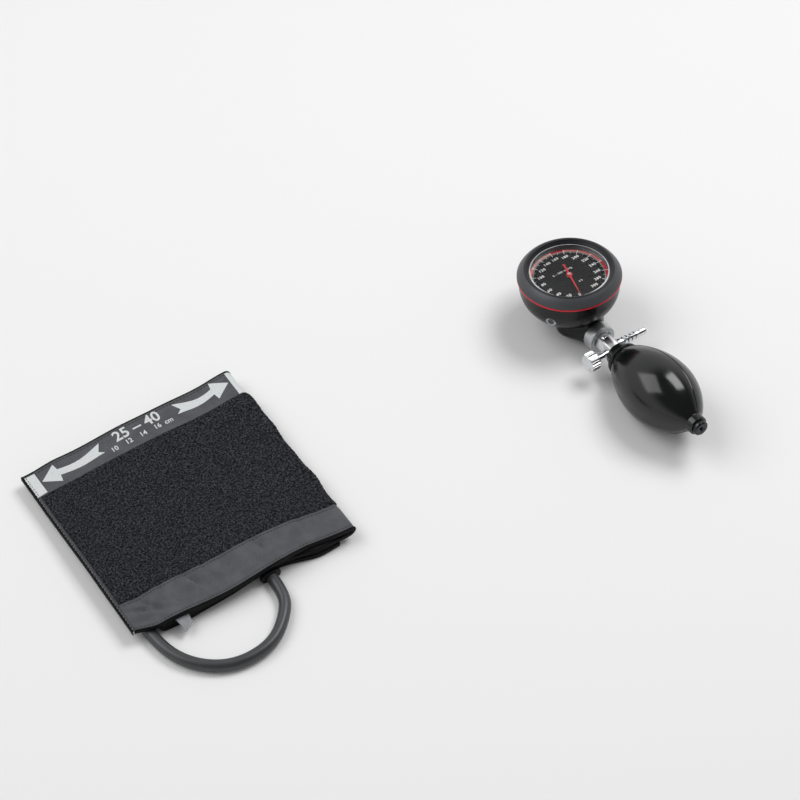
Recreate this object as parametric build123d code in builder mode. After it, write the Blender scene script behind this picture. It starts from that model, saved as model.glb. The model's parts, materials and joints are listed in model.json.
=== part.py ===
from build123d import *
from math import asin, atan2, cos, degrees, pi, radians, sin, sqrt, tan
import os

# Palm aneroid sphygmomanometer, laid out on a table as its owner unpacks it.
# On the right is the handpiece: a dial gauge in a bowl, a chrome release valve and a rubber bulb.
# On the left is the adult arm cuff, folded in three, with its hose in a loop at the front.
# Millimetres, +Z up, table top at z = 0, bulb towards -Y, cuff towards -X.

# Handpiece, held on the table by the bottom of its bowl and by the bulb.
# HAND is where the neck's axis crosses the dial's axis; LEAN lifts the bulb end.
HAND = (173.6, 31.65, 11.07)
LEAN = 7.85

# Gauge, measured along the dial's axis from the neck's axis
RING_Z = 32.0
BOWL_R = 34.5
BOWL_ARC_R = 24.0
BOWL_ARC_Z = 26.0
BOWL_BOTTOM_Z = -11.0
BOWL_WALL_TOP_Z = 31.4
RING_R = 35.4
BEZEL_R = 35.8
RIM_Z = 39.7
WINDOW_R = 27.75
LENS_R = 28.7
LENS_Z = 34.9
LENS_T = 1.6
DIAL_Z = 30.7
DIAL_T = 0.6
DIAL_R = 31.2
SCALE_R = 27.2
SCREW_ANGLES = (-149, -29, 91)
SCREW_Z = 18.0
SCREW_SEAT = 31.2
SCREW_HEAD_R = 3.5
SCREW_HEAD_T = 1.6
SCREW_SHANK_R = 1.25
SCREW_SOCKET_R = 1.9
CAVITY_R = 27.6

# Movement
PLATE_Z = 20.0
PLATE_T = 1.0
PLATE_R = 29.9
BASE_SCREW_R = 28.6
BASE_SCREW_ANGLE = 30
TOP_PLATE_Z = 27.0
TOP_PLATE_R = 25.0
PILLAR_R = 23.0
PILLAR_ANGLES = (0, 105, 255)
MODULE = 0.4
PINION_TEETH = 10
SECTOR_TEETH = 100
GEAR_Z = 23.0
GEAR_T = 1.0
PIVOT_R = 0.6
PIVOT_GAP = 0.05
SWEEP = 320.0
ZERO_CLOCK = 195.6
SHAFT_Z = 16.0
SHAFT_Y = -9.0
SHAFT_R = 0.7
PUSH_ARM = 9.0
PUSH_RISE = 1.5
LEVER_H = 6.0

# Neck, collar, valve and bulb, measured along the neck's axis towards the bulb
NECK_SECTIONS = ((3.0, 13.5, 9.6), (19.0, 15.0, 9.7), (25.0, 10.9, 9.7))
NECK_SHOULDER_R = 9.7
NECK_FILLET = 2.5
NECK_END = 34.0
NECK_R = 7.4
COLLAR_S = 29.2
COLLAR_L = 8.2
COLLAR_R = 10.2
VALVE_S = 36.0
VALVE_END = 52.5
VALVE_FLATS = 11.6
VALVE_TURN = 12.0
GAS_WAY_R = 1.6
OUTLET_R = 3.7
OUTLET_DEPTH = 4.2
PORT_S = 41.6
PORT_R = 2.2
SPIGOT_R = 5.0
SPIGOT_END = 60.0
BARB_S = 46.5
BARB_END_X = 29.5
BARB_BORE_R = 1.25
BARB_NOSE_R = 2.65
KNOB_S = 49.6
KNOB_R = 6.5
STEM_R = 1.9
GLAND_X = 5.0
GLAND_R = 2.8
GLAND_END_X = 8.0
BULB_WIDE_S = 99.0
BULB_R = 24.25
BULB_WALL = 2.2
BULB_FRONT_S = 61.0
BULB_FRONT_R = 11.0
BULB_TAIL_S = 134.0
BULB_TAIL_R = 8.0
TAIL_END = 140.6
FITTING_R = 3.6

# Cuff, folded in three along X
CUFF_LEFT = -209.7
CUFF_FRONT = -39.15
CUFF_LENGTH = 159.0
CUFF_WIDTH = 150.6
CLOTH_T = 0.8
STRIP_T = 3.0
FOLD_R = 2.1
FOLD_LEFT = 21.5
FOLD_END = 12.0
HOOK_T = 0.8
PILE_T = 1.2
PILE_FRONT = 26.0
PILE_WIDTH = 103.0
BLADDER_T = 1.2
BLADDER_WIDTH = 120.0

# Hose
HOSE_R = 4.0
HOSE_Z = 4.1
HOSE_ROUTE = [
    (-113.4, -41.15), (-113.4, -53.6), (-118.8, -66.5), (-137.2, -82.9), (-162.2, -85.2), (-181.5, -76.3),
    (-195.4, -58.3), (-199.7, -33.4), (-198.7, -14.0),
]
HOSE_EASE = 0.45

lean = radians(LEAN)
face_dir = (0, sin(lean), cos(lean))
bulb_dir = (0, -cos(lean), sin(lean))

# Planes through HAND: the dial's own plane, the neck's cross-section, and the neck's side view.
# A point (r, z) on section turns about dial_axis; a point (s, r) on side turns about neck_axis.
dial = Plane(origin=HAND, x_dir=(1, 0, 0), z_dir=face_dir)
section = Plane(origin=HAND, x_dir=(1, 0, 0), z_dir=bulb_dir)
side = Plane(origin=HAND, x_dir=bulb_dir, z_dir=(-1, 0, 0))
dial_axis = Axis(HAND, face_dir)
neck_axis = Axis(HAND, bulb_dir)


def on_dial(x, y, z):
    """A point in the dial's own coordinates, as a point over the table."""
    return dial.from_local_coords((x, y, z))


def radial_plane(angle, z):
    """The upright plane through the dial's axis at height z whose normal points out at an angle."""
    centre = on_dial(0, 0, z)
    return Plane(origin=centre, x_dir=face_dir,
                 z_dir=on_dial(cos(radians(angle)), sin(radians(angle)), z) - centre)


def cross_axis(s):
    """The axis along +X that crosses the neck's axis s millimetres from the dial's axis."""
    return Axis(section.offset(s).origin, (1, 0, 0))


def on_arc(centre, radius, angle):
    """A point of an arc, by its direction from the arc's centre in degrees."""
    return (centre[0] + radius * cos(radians(angle)), centre[1] + radius * sin(radians(angle)))


# Gauge housing: a bowl that narrows in two arcs to its foot, with a rim for the bezel
# and a neck that flares out of the wall. The gas way runs up the neck and into the capsule.
bowl_centre = (BOWL_R - BOWL_ARC_R, BOWL_ARC_Z)
slope = on_arc(bowl_centre, BOWL_ARC_R, -45)
foot_arc_r = (slope[0] - slope[1] + BOWL_BOTTOM_Z) / (sqrt(2) - 1)
foot_centre = (0, BOWL_BOTTOM_Z + foot_arc_r)
foot = on_arc(foot_centre, foot_arc_r, -45)
rim_top = LENS_Z - 0.5
RIM_R = 32.6
WALL_TOP_R = 34.8
DIAL_SEAT_R = 31.4
LEDGE_R = 30.2
CAVITY_FLOOR = 4.6
CAVITY_FLOOR_R = 18.6
DUCT_R = 1.5

with BuildPart() as housing:
    with BuildSketch(section):
        with BuildLine():
            Polyline((0, rim_top), (RIM_R, rim_top), (RIM_R, BOWL_WALL_TOP_Z),
                     (WALL_TOP_R, BOWL_WALL_TOP_Z), (BOWL_R, BOWL_ARC_Z))
            ThreePointArc((BOWL_R, BOWL_ARC_Z), on_arc(bowl_centre, BOWL_ARC_R, -22.5), slope)
            Line(slope, foot)
            ThreePointArc(foot, on_arc(foot_centre, foot_arc_r, -67.5), (0, BOWL_BOTTOM_Z))
            Line((0, BOWL_BOTTOM_Z), (0, rim_top))
        make_face()
    revolve(axis=dial_axis)
    # neck, wide and flat under the bowl, round where the collar starts
    for s, half_width, half_height in NECK_SECTIONS:
        with BuildSketch(section.offset(s)):
            Ellipse(half_width, half_height)
    with BuildSketch(section.offset(COLLAR_S)):
        Circle(NECK_SHOULDER_R)
    loft()
    # soften the line where the neck runs into the bowl, but not the shoulder at the collar
    shoulder = section.offset(COLLAR_S).origin
    join = [
        edge for edge in housing.edges(Select.NEW)
        if edge.geom_type not in (GeomType.LINE, GeomType.CIRCLE)
        and edge.distance_to(shoulder) > NECK_SHOULDER_R
    ]
    fillet(join, NECK_FILLET)
    with BuildSketch(section.offset(COLLAR_S)):
        Circle(NECK_R)
    extrude(amount=NECK_END - COLLAR_S)
    # room for the dial, the movement and the capsule
    with BuildSketch(section):
        with BuildLine():
            Polyline(
                (0, rim_top), (DIAL_SEAT_R, rim_top), (DIAL_SEAT_R, DIAL_Z), (LEDGE_R, DIAL_Z),
                (LEDGE_R, PLATE_Z), (CAVITY_R, PLATE_Z), (CAVITY_R - 2.4, 10.0),
                (CAVITY_FLOOR_R, CAVITY_FLOOR), (0, CAVITY_FLOOR), close=True,
            )
        make_face()
    revolve(axis=dial_axis, mode=Mode.SUBTRACT)
    # gas way
    with BuildSketch(section.offset(NECK_END)):
        Circle(DUCT_R)
    extrude(amount=-NECK_END, mode=Mode.SUBTRACT)
    with BuildSketch(dial):
        Circle(DUCT_R)
    extrude(amount=CAVITY_FLOOR + 0.4, mode=Mode.SUBTRACT)
    # seats of the three side screws and of the movement's screws
    for angle in SCREW_ANGLES:
        with BuildSketch(radial_plane(angle, SCREW_Z).offset(CAVITY_R - 2)):
            Circle(SCREW_SHANK_R + 0.05)
        extrude(amount=10, mode=Mode.SUBTRACT)
        with BuildSketch(radial_plane(angle, SCREW_Z).offset(SCREW_SEAT)):
            Circle(SCREW_HEAD_R + 0.1)
        extrude(amount=5, mode=Mode.SUBTRACT)
    with BuildSketch(dial.offset(PLATE_Z)):
        with PolarLocations(BASE_SCREW_R, 3, start_angle=BASE_SCREW_ANGLE):
            Circle(0.85)
    extrude(amount=-3.5, mode=Mode.SUBTRACT)
housing.part.label = "gauge_housing"

# Side screws: flat socket heads that stand a little proud of the bowl's wall
with BuildPart() as housing_screws:
    for angle in SCREW_ANGLES:
        screw_plane = radial_plane(angle, SCREW_Z)
        with BuildSketch(screw_plane.offset(SCREW_SEAT)):
            Circle(SCREW_HEAD_R)
        extrude(amount=SCREW_HEAD_T)
        with BuildSketch(screw_plane.offset(CAVITY_R - 0.6)):
            Circle(SCREW_SHANK_R)
        extrude(amount=SCREW_SEAT - CAVITY_R + 0.6)
        with BuildSketch(screw_plane.offset(SCREW_SEAT + SCREW_HEAD_T)):
            RegularPolygon(SCREW_SOCKET_R, 6)
        extrude(amount=-1.0, mode=Mode.SUBTRACT)
housing_screws.part.label = "housing_screws"

# Accent ring: the thin coloured gasket between the bowl and the bezel
with BuildPart() as accent_ring:
    with BuildSketch(section):
        with BuildLine():
            Polyline((RIM_R + 0.1, BOWL_WALL_TOP_Z), (RING_R - 0.3, BOWL_WALL_TOP_Z),
                     (RING_R, BOWL_WALL_TOP_Z + 0.3), (RING_R, RING_Z + 0.2), (RING_R - 0.3, RING_Z + 0.5),
                     (RIM_R + 0.1, RING_Z + 0.5), close=True)
        make_face()
    revolve(axis=dial_axis)
accent_ring.part.label = "accent_ring"

# Bezel: a heavy ring like a cut cone, with a flat rim and the lens's groove inside
bezel_foot = RING_Z + 0.5
bezel_bore = RIM_R + 0.2
lens_seat_r = LENS_R + 0.2
lens_top = LENS_Z + LENS_T
with BuildPart() as bezel:
    with BuildSketch(section):
        with BuildLine():
            Polyline((bezel_bore, bezel_foot), (BEZEL_R - 0.5, bezel_foot), (BEZEL_R, 33.0), (BEZEL_R, 33.5))
            ThreePointArc((BEZEL_R, 33.5), (33.7, 36.8), (30.9, RIM_Z - 0.35))
            ThreePointArc((30.9, RIM_Z - 0.35), (30.66, RIM_Z - 0.08), (30.3, RIM_Z))
            Polyline((30.3, RIM_Z), (29.4, RIM_Z), (29.1, RIM_Z - 0.2), (WINDOW_R, 37.7), (WINDOW_R, lens_top),
                     (lens_seat_r, lens_top), (lens_seat_r, rim_top + 0.2), (bezel_bore, rim_top + 0.2),
                     (bezel_bore, bezel_foot))
        make_face()
    revolve(axis=dial_axis)
bezel.part.label = "bezel"

# Lens: a flat glass with a bevelled edge, held down by the bezel on a soft gasket
with BuildPart() as lens:
    with BuildSketch(dial.offset(LENS_Z)):
        Circle(LENS_R)
    extrude(amount=LENS_T)
    chamfer(lens.edges().filter_by(GeomType.CIRCLE), 0.3)
lens.part.label = "lens"

GASKET_T = 0.7
with BuildPart() as lens_gasket:
    with BuildSketch(dial.offset(LENS_Z - GASKET_T)):
        Circle(LENS_R)
        Circle(SCALE_R + 0.7, mode=Mode.SUBTRACT)
    extrude(amount=GASKET_T)
lens_gasket.part.label = "lens_gasket"

# Dial ring: the stepped light spacer that holds the dial down and frames the scale
dial_top = DIAL_Z + DIAL_T
with BuildPart() as dial_ring:
    with BuildSketch(section):
        with BuildLine():
            Polyline((SCALE_R, dial_top), (DIAL_R, dial_top), (DIAL_R, LENS_Z - GASKET_T),
                     (SCALE_R + 0.9, LENS_Z - GASKET_T), (SCALE_R + 0.8, dial_top + 1.6),
                     (SCALE_R + 0.3, dial_top + 1.6), close=True)
        make_face()
    revolve(axis=dial_axis)
dial_ring.part.label = "dial_ring"

with BuildPart() as dial_plate:
    with BuildSketch(dial.offset(DIAL_Z)):
        Circle(DIAL_R)
        Circle(1.6, mode=Mode.SUBTRACT)
    extrude(amount=DIAL_T)
dial_plate.part.label = "dial_plate"

# Pointer: a long tapered finger, a round hub and a drop-shaped tail, stored at zero.
# Its clock angle is counted from twelve, clockwise, as the dial's numbers run.
POINTER_Z = dial_top + 1.1
POINTER_T = 0.35
TIP_R = 20.4
TAIL_R = 11.0
rest = radians(90 - ZERO_CLOCK)


def on_pointer(along, across):
    """A point on the dial's plane, from its distance along the pointer and across it."""
    return (along * cos(rest) - across * sin(rest), along * sin(rest) + across * cos(rest))


with BuildPart() as pointer:
    with BuildSketch(dial.offset(POINTER_Z)):
        with BuildLine():
            Polyline(on_pointer(TIP_R, 0.12), on_pointer(1, 0.62), on_pointer(1, -0.62),
                     on_pointer(TIP_R, -0.12), close=True)
        make_face()
        with BuildLine():
            Polyline(on_pointer(0, 0.5), on_pointer(-TAIL_R + 1.2, 1.05), on_pointer(-TAIL_R + 1.2, -1.05),
                     on_pointer(0, -0.5), close=True)
        make_face()
        Circle(2.1)
        with Locations(on_pointer(-TAIL_R + 1.3, 0)):
            Circle(1.25)
        Circle(PIVOT_R, mode=Mode.SUBTRACT)
    extrude(amount=POINTER_T)
pointer.part.label = "pointer"

# Pinion and arbor: the pointer's shaft, with its hub cap and ten teeth
pinion_r = MODULE * PINION_TEETH / 2
sector_r = MODULE * SECTOR_TEETH / 2
centres = pinion_r + sector_r
TOOTH_OUT = 0.28
TOOTH_IN = 0.45
TOOTH_W = 0.44


def tooth(pitch_r, angle):
    """The corners of a slim tooth that points along an angle, from root to tip and back."""
    corners = []
    for radius, half in ((pitch_r - TOOTH_IN - 0.2, 0.5), (pitch_r, 0.5), (pitch_r + TOOTH_OUT, 0.22)):
        corners.append((radius, TOOTH_W * half))
    corners += [(radius, -width) for radius, width in reversed(corners)]
    a = radians(angle)
    return [(x * cos(a) - y * sin(a), x * sin(a) + y * cos(a)) for x, y in corners]


shaft_front = SHAFT_Y - 0.5
tail_pin_r = 0.4
tail_gap = 0.15
rock = degrees(asin(PUSH_RISE / PUSH_ARM))
sector_turn = SWEEP * PINION_TEETH / SECTOR_TEETH
tail_arm = LEVER_H * sin(radians(rock)) / (2 * sin(radians(sector_turn / 2)))
tail_y = shaft_front - tail_pin_r - tail_gap
sector_y = tail_y - tail_arm * sin(radians(sector_turn / 2))
sector_x = -sqrt(centres**2 - sector_y**2)
mesh_angle = degrees(atan2(sector_y, sector_x))

with BuildPart() as pointer_arbor:
    with BuildSketch(dial.offset(PLATE_Z + 0.1)):
        Circle(PIVOT_R)
    extrude(amount=POINTER_Z + POINTER_T - PLATE_Z - 0.1)
    with BuildSketch(dial.offset(GEAR_Z - 0.4)):
        Circle(pinion_r - TOOTH_IN)
        for k in range(PINION_TEETH):
            with BuildLine():
                Polyline(*tooth(pinion_r, mesh_angle + 360 * k / PINION_TEETH), close=True)
            make_face()
    extrude(amount=GEAR_T + 0.8)
    # collet of the hairspring and the cap over the pointer's hub
    with BuildSketch(dial.offset(TOP_PLATE_Z - 1.6)):
        Circle(1.05)
    extrude(amount=0.9)
    with BuildSketch(dial.offset(POINTER_Z + POINTER_T)):
        Circle(1.15)
    extrude(amount=0.55)
pointer_arbor.part.label = "pointer_arbor"

# Movement plates, held apart by three pillars
with BuildPart() as base_plate:
    with BuildSketch(dial.offset(PLATE_Z)):
        Circle(PLATE_R)
        Circle(PIVOT_R + PIVOT_GAP, mode=Mode.SUBTRACT)
        with Locations((sector_x, sector_y)):
            Circle(PIVOT_R + PIVOT_GAP, mode=Mode.SUBTRACT)
        # slot for the lever that comes up from below
        with Locations((sector_x - tail_arm, SHAFT_Y - 0.6)):
            Rectangle(2.6, 4.4, mode=Mode.SUBTRACT)
        with PolarLocations(PILLAR_R, 3, start_angle=PILLAR_ANGLES[1] + 60):
            Circle(3.0, mode=Mode.SUBTRACT)
        with PolarLocations(BASE_SCREW_R, 3, start_angle=BASE_SCREW_ANGLE):
            Circle(0.85, mode=Mode.SUBTRACT)
    extrude(amount=PLATE_T)
base_plate.part.label = "movement_base_plate"

with BuildPart() as top_plate:
    with BuildSketch(dial.offset(TOP_PLATE_Z)):
        Circle(TOP_PLATE_R)
        Circle(PIVOT_R + PIVOT_GAP, mode=Mode.SUBTRACT)
        with Locations((sector_x, sector_y)):
            Circle(PIVOT_R + PIVOT_GAP, mode=Mode.SUBTRACT)
        with PolarLocations(13, 3, start_angle=PILLAR_ANGLES[1] + 60):
            Circle(5.0, mode=Mode.SUBTRACT)
        for angle in PILLAR_ANGLES:
            with PolarLocations(PILLAR_R, 1, start_angle=angle):
                Circle(1.0, mode=Mode.SUBTRACT)
    extrude(amount=PLATE_T)
top_plate.part.label = "movement_top_plate"

with BuildPart() as pillars:
    for angle in PILLAR_ANGLES:
        with BuildSketch(dial.offset(PLATE_Z + PLATE_T)):
            with PolarLocations(PILLAR_R, 1, start_angle=angle):
                Circle(1.8)
        extrude(amount=TOP_PLATE_Z - PLATE_Z - PLATE_T)
pillars.part.label = "movement_pillars"

with BuildPart() as plate_screws:
    for angle in PILLAR_ANGLES:
        with BuildSketch(dial.offset(TOP_PLATE_Z)):
            with PolarLocations(PILLAR_R, 1, start_angle=angle):
                Circle(0.95)
        extrude(amount=PLATE_T)
        with BuildSketch(dial.offset(TOP_PLATE_Z + PLATE_T)):
            with PolarLocations(PILLAR_R, 1, start_angle=angle):
                Circle(1.7)
        extrude(amount=0.8)
        with BuildSketch(dial.offset(TOP_PLATE_Z + PLATE_T + 0.8)):
            with PolarLocations(PILLAR_R, 1, start_angle=angle):
                Rectangle(4, 0.5)
        extrude(amount=-0.4, mode=Mode.SUBTRACT)
plate_screws.part.label = "movement_top_screws"

# Base screws: three that hold the movement down on the housing's ledge
with BuildPart() as base_screws:
    with BuildSketch(dial.offset(PLATE_Z - 3)):
        with PolarLocations(BASE_SCREW_R, 3, start_angle=BASE_SCREW_ANGLE):
            Circle(0.8)
    extrude(amount=3 + PLATE_T)
    with BuildSketch(dial.offset(PLATE_Z + PLATE_T)):
        with PolarLocations(BASE_SCREW_R, 3, start_angle=BASE_SCREW_ANGLE):
            Circle(1.5)
    extrude(amount=0.8)
    with BuildSketch(dial.offset(PLATE_Z + PLATE_T + 0.8)):
        with PolarLocations(BASE_SCREW_R, 3, start_angle=BASE_SCREW_ANGLE):
            Rectangle(4, 0.5)
    extrude(amount=-0.4, mode=Mode.SUBTRACT)
base_screws.part.label = "movement_base_screws"


def about_sector(radius, angle):
    """A point on the dial's plane, by its distance and direction from the sector's pivot."""
    return (sector_x + radius * cos(radians(angle)), sector_y + radius * sin(radians(angle)))


# Sector gear: a toothed arc on its own arbor, with a short tail whose pin meets the lever
sector_first = mesh_angle + 180 - sector_turn - 8
sector_last = mesh_angle + 180 + 8
sector_middle = (sector_first + sector_last) / 2
sector_root = sector_r - TOOTH_IN
window_first, window_last = sector_first + 9, sector_last - 9
tail_angle = 180 - sector_turn / 2
with BuildPart() as sector_gear:
    with BuildSketch(dial.offset(GEAR_Z)):
        with BuildLine():
            Line(about_sector(0, 0), about_sector(sector_root, sector_first))
            ThreePointArc(about_sector(sector_root, sector_first), about_sector(sector_root, sector_middle),
                          about_sector(sector_root, sector_last))
            Line(about_sector(sector_root, sector_last), about_sector(0, 0))
        make_face()
        # window that lightens the sector
        with BuildLine():
            Line(about_sector(7, window_first), about_sector(16, window_first))
            ThreePointArc(about_sector(16, window_first), about_sector(16, sector_middle),
                          about_sector(16, window_last))
            Line(about_sector(16, window_last), about_sector(7, window_last))
            ThreePointArc(about_sector(7, window_last), about_sector(7, sector_middle),
                          about_sector(7, window_first))
        make_face(mode=Mode.SUBTRACT)
        step = 360 / SECTOR_TEETH
        for k in range(-10, 2):
            with BuildLine():
                corners = tooth(sector_r, mesh_angle + 180 + (k + 0.5) * step)
                Polyline(*[(sector_x + x, sector_y + y) for x, y in corners], close=True)
            make_face()
        with Locations((sector_x, sector_y)):
            Circle(2.0)
            with PolarLocations(tail_arm / 2, 1, start_angle=tail_angle):
                Rectangle(tail_arm + 1.2, 1.6)
    extrude(amount=GEAR_T)
    with BuildSketch(dial.offset(PLATE_Z + 0.1)):
        with Locations((sector_x, sector_y)):
            Circle(PIVOT_R)
    extrude(amount=TOP_PLATE_Z + PLATE_T - PLATE_Z - 0.1)
    with BuildSketch(dial.offset(GEAR_Z)):
        with Locations(about_sector(tail_arm, tail_angle)):
            Circle(tail_pin_r)
    extrude(amount=-1.4)
sector_gear.part.label = "sector_gear"

# Rocking shaft: the capsule lifts its push arm, and its lever turns the sector
lever_x = sector_x - tail_arm * cos(radians(sector_turn / 2))
arm_under = SHAFT_Z - 0.6
shaft_start = lever_x - 1.6
SHAFT_STOP = 4.0
with BuildPart() as rocking_shaft:
    with BuildSketch(Plane(origin=on_dial(shaft_start, SHAFT_Y, SHAFT_Z), x_dir=face_dir, z_dir=(1, 0, 0))):
        Circle(SHAFT_R)
    extrude(amount=SHAFT_STOP - shaft_start)
    with BuildSketch(dial.offset(arm_under)):
        with Locations((0, SHAFT_Y / 2 + 0.5)):
            Rectangle(1.4, 1.0 - SHAFT_Y)
    extrude(amount=1.2)
    with BuildSketch(dial.offset(SHAFT_Z - 0.5)):
        with Locations((lever_x, SHAFT_Y)):
            Rectangle(1.4, 1.0)
    extrude(amount=LEVER_H + 0.9)
rocking_shaft.part.label = "rocking_shaft"

# Hangers under the base plate that carry the rocking shaft
HANGER_T = 1.0
hanger_foot = SHAFT_Z - 1.6
with BuildPart() as shaft_hangers:
    for x in (lever_x + 2.5, 2.1):
        with BuildSketch(Plane(origin=on_dial(x, SHAFT_Y, 0), x_dir=face_dir, z_dir=(1, 0, 0))):
            with Locations(((PLATE_Z + hanger_foot) / 2, 0)):
                Rectangle(PLATE_Z - hanger_foot, 3.2)
            with Locations((SHAFT_Z, 0)):
                Circle(SHAFT_R + PIVOT_GAP, mode=Mode.SUBTRACT)
        extrude(amount=HANGER_T)
shaft_hangers.part.label = "shaft_hangers"

# Aneroid capsule: two corrugated diaphragms joined at their rim, on a stem over the gas way
CAPSULE_BOTTOM = 6.4
CAPSULE_TOP = 12.4
with BuildPart() as capsule:
    with BuildSketch(section):
        with BuildLine():
            Polyline((1.6, 4.6), (3.2, 4.6), (3.2, CAPSULE_BOTTOM), (5.5, CAPSULE_BOTTOM + 0.5),
                     (8.0, CAPSULE_BOTTOM), (10.5, CAPSULE_BOTTOM + 0.5), (13.0, CAPSULE_BOTTOM + 0.2),
                     (15.0, 9.0), (16.0, 9.0), (16.0, 9.8), (15.0, 9.8), (13.0, CAPSULE_TOP - 0.2),
                     (10.5, CAPSULE_TOP - 0.5), (8.0, CAPSULE_TOP), (5.5, CAPSULE_TOP - 0.5),
                     (3.2, CAPSULE_TOP), (0, CAPSULE_TOP), (0, CAPSULE_TOP - 0.4),
                     (3.2, CAPSULE_TOP - 0.4), (5.5, CAPSULE_TOP - 0.9),
                     (8.0, CAPSULE_TOP - 0.4), (10.5, CAPSULE_TOP - 0.9), (12.8, CAPSULE_TOP - 0.6),
                     (14.6, 9.4), (12.8, CAPSULE_BOTTOM + 0.6), (10.5, CAPSULE_BOTTOM + 0.9),
                     (8.0, CAPSULE_BOTTOM + 0.4), (5.5, CAPSULE_BOTTOM + 0.9), (1.6, CAPSULE_BOTTOM + 0.4),
                     close=True)
        make_face()
    revolve(axis=dial_axis)
capsule.part.label = "aneroid_capsule"

# Capsule post: the domed stud that rises with the capsule and lifts the push arm
post_top = arm_under - 0.12
POST_R = 0.8
post_centre = (0, post_top - POST_R)
with BuildPart() as capsule_post:
    with BuildSketch(section):
        with BuildLine():
            Polyline((0, CAPSULE_TOP), (2.2, CAPSULE_TOP), (2.2, CAPSULE_TOP + 0.6),
                     (POST_R, CAPSULE_TOP + 0.6), (POST_R, post_top - POST_R))
            ThreePointArc((POST_R, post_top - POST_R), on_arc(post_centre, POST_R, 45), (0, post_top))
            Line((0, post_top), (0, CAPSULE_TOP))
        make_face()
    revolve(axis=dial_axis)
capsule_post.part.label = "capsule_post"

# Hairspring: a flat spiral of half turns about the arbor, pinned to a stud under the top plate
SPRING_IN = 1.3
SPRING_PITCH = 0.9
SPRING_HALF_TURNS = 9
with BuildPart() as hairspring:
    with BuildSketch(dial.offset(TOP_PLATE_Z - 1.4)):
        with BuildLine():
            x_here = SPRING_IN
            for k in range(SPRING_HALF_TURNS):
                reach = SPRING_IN + SPRING_PITCH * (k + 1) / 2
                x_next = -reach if x_here > 0 else reach
                middle = (x_here + x_next) / 2
                height = (x_here - x_next) / 2
                ThreePointArc((x_here, 0), (middle, height), (x_next, 0))
                x_here = x_next
        trace(line_width=0.16)
    extrude(amount=0.5)
    with BuildSketch(dial.offset(TOP_PLATE_Z - 1.4)):
        with Locations((x_here, 0)):
            Circle(0.5)
    extrude(amount=1.4)
hairspring.part.label = "hairspring"

# Collar: the brushed union nut that clamps the valve to the neck
with BuildPart() as collar:
    with BuildSketch(side):
        with BuildLine():
            collar_end = COLLAR_S + COLLAR_L
            Polyline((COLLAR_S, NECK_R), (COLLAR_S, COLLAR_R - 0.3), (COLLAR_S + 0.3, COLLAR_R),
                     (collar_end - 0.5, COLLAR_R), (collar_end, COLLAR_R - 0.5), (collar_end, 7.0),
                     (VALVE_S, 7.0), (VALVE_S, NECK_R), close=True)
        make_face()
    revolve(axis=neck_axis)
collar.part.label = "collar"

# Neck washer: the soft seal between the neck and the valve's flange
WASHER_T = 0.8
with BuildPart() as neck_washer:
    with BuildSketch(section.offset(NECK_END)):
        Circle(NECK_R - 0.2)
        Circle(2.0, mode=Mode.SUBTRACT)
    extrude(amount=WASHER_T)
neck_washer.part.label = "neck_washer"

# Valve body: a chromed six-sided bar with a flange inside the collar and a spigot in the bulb.
# The hose barb screws in on its right, the release valve on its left.
barb_mouth = Plane(origin=section.offset(BARB_S).origin, x_dir=face_dir, z_dir=(1, 0, 0))
needle_mouth = Plane(origin=section.offset(KNOB_S).origin, x_dir=face_dir, z_dir=(-1, 0, 0))
port_turn = radians(VALVE_TURN)
port_up = Plane(origin=section.offset(PORT_S).origin, x_dir=bulb_dir,
                z_dir=on_dial(-sin(port_turn), 0, cos(port_turn)) - on_dial(0, 0, 0))
valve_face = VALVE_FLATS / 2
with BuildPart() as valve_body:
    with BuildSketch(section.offset(VALVE_S)):
        RegularPolygon(valve_face, 6, major_radius=False, rotation=VALVE_TURN)
    extrude(amount=VALVE_END - VALVE_S)
    with BuildSketch(side):
        with BuildLine():
            Polyline((VALVE_S, 0), (VALVE_S, 7.1), (VALVE_END - 1.2, 7.1), (VALVE_END, valve_face - 0.2),
                     (VALVE_END, 0), close=True)
        make_face()
    revolve(axis=neck_axis, mode=Mode.INTERSECT)
    with BuildSketch(side):
        with BuildLine():
            Polyline((NECK_END + WASHER_T, 0), (NECK_END + WASHER_T, NECK_R - 0.2), (VALVE_S, NECK_R - 0.2),
                     (VALVE_S, 0), close=True)
        make_face()
        with BuildLine():
            Polyline((VALVE_END, 0), (VALVE_END, SPIGOT_R), (SPIGOT_END - 0.6, SPIGOT_R),
                     (SPIGOT_END, SPIGOT_R - 0.6), (SPIGOT_END, 0), close=True)
        make_face()
    revolve(axis=neck_axis)
    # gas way, with a wider room for the outlet valve in the spigot's mouth
    with BuildSketch(section.offset(NECK_END)):
        Circle(GAS_WAY_R)
    extrude(amount=SPIGOT_END - NECK_END, mode=Mode.SUBTRACT)
    with BuildSketch(section.offset(SPIGOT_END)):
        Circle(OUTLET_R)
    extrude(amount=-OUTLET_DEPTH, mode=Mode.SUBTRACT)
    # way to the hose barb, with its thread and the flat for its shoulder
    for start, radius in ((0, BARB_BORE_R), (3.4, 2.2), (5.6, 3.5)):
        with BuildSketch(barb_mouth.offset(start)):
            Circle(radius)
        extrude(amount=8, mode=Mode.SUBTRACT)
    # way to the needle, with its thread and the seat of its gland
    for start, radius in ((0, 0.9), (3.2, STEM_R + PIVOT_GAP), (GLAND_X, GLAND_R + 0.05)):
        with BuildSketch(needle_mouth.offset(start)):
            Circle(radius)
        extrude(amount=8, mode=Mode.SUBTRACT)
    # drilled port on the top flat
    with BuildSketch(port_up.offset(valve_face - 0.9)):
        Circle(PORT_R)
    extrude(amount=3, mode=Mode.SUBTRACT)
valve_body.part.label = "valve_body"

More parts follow.
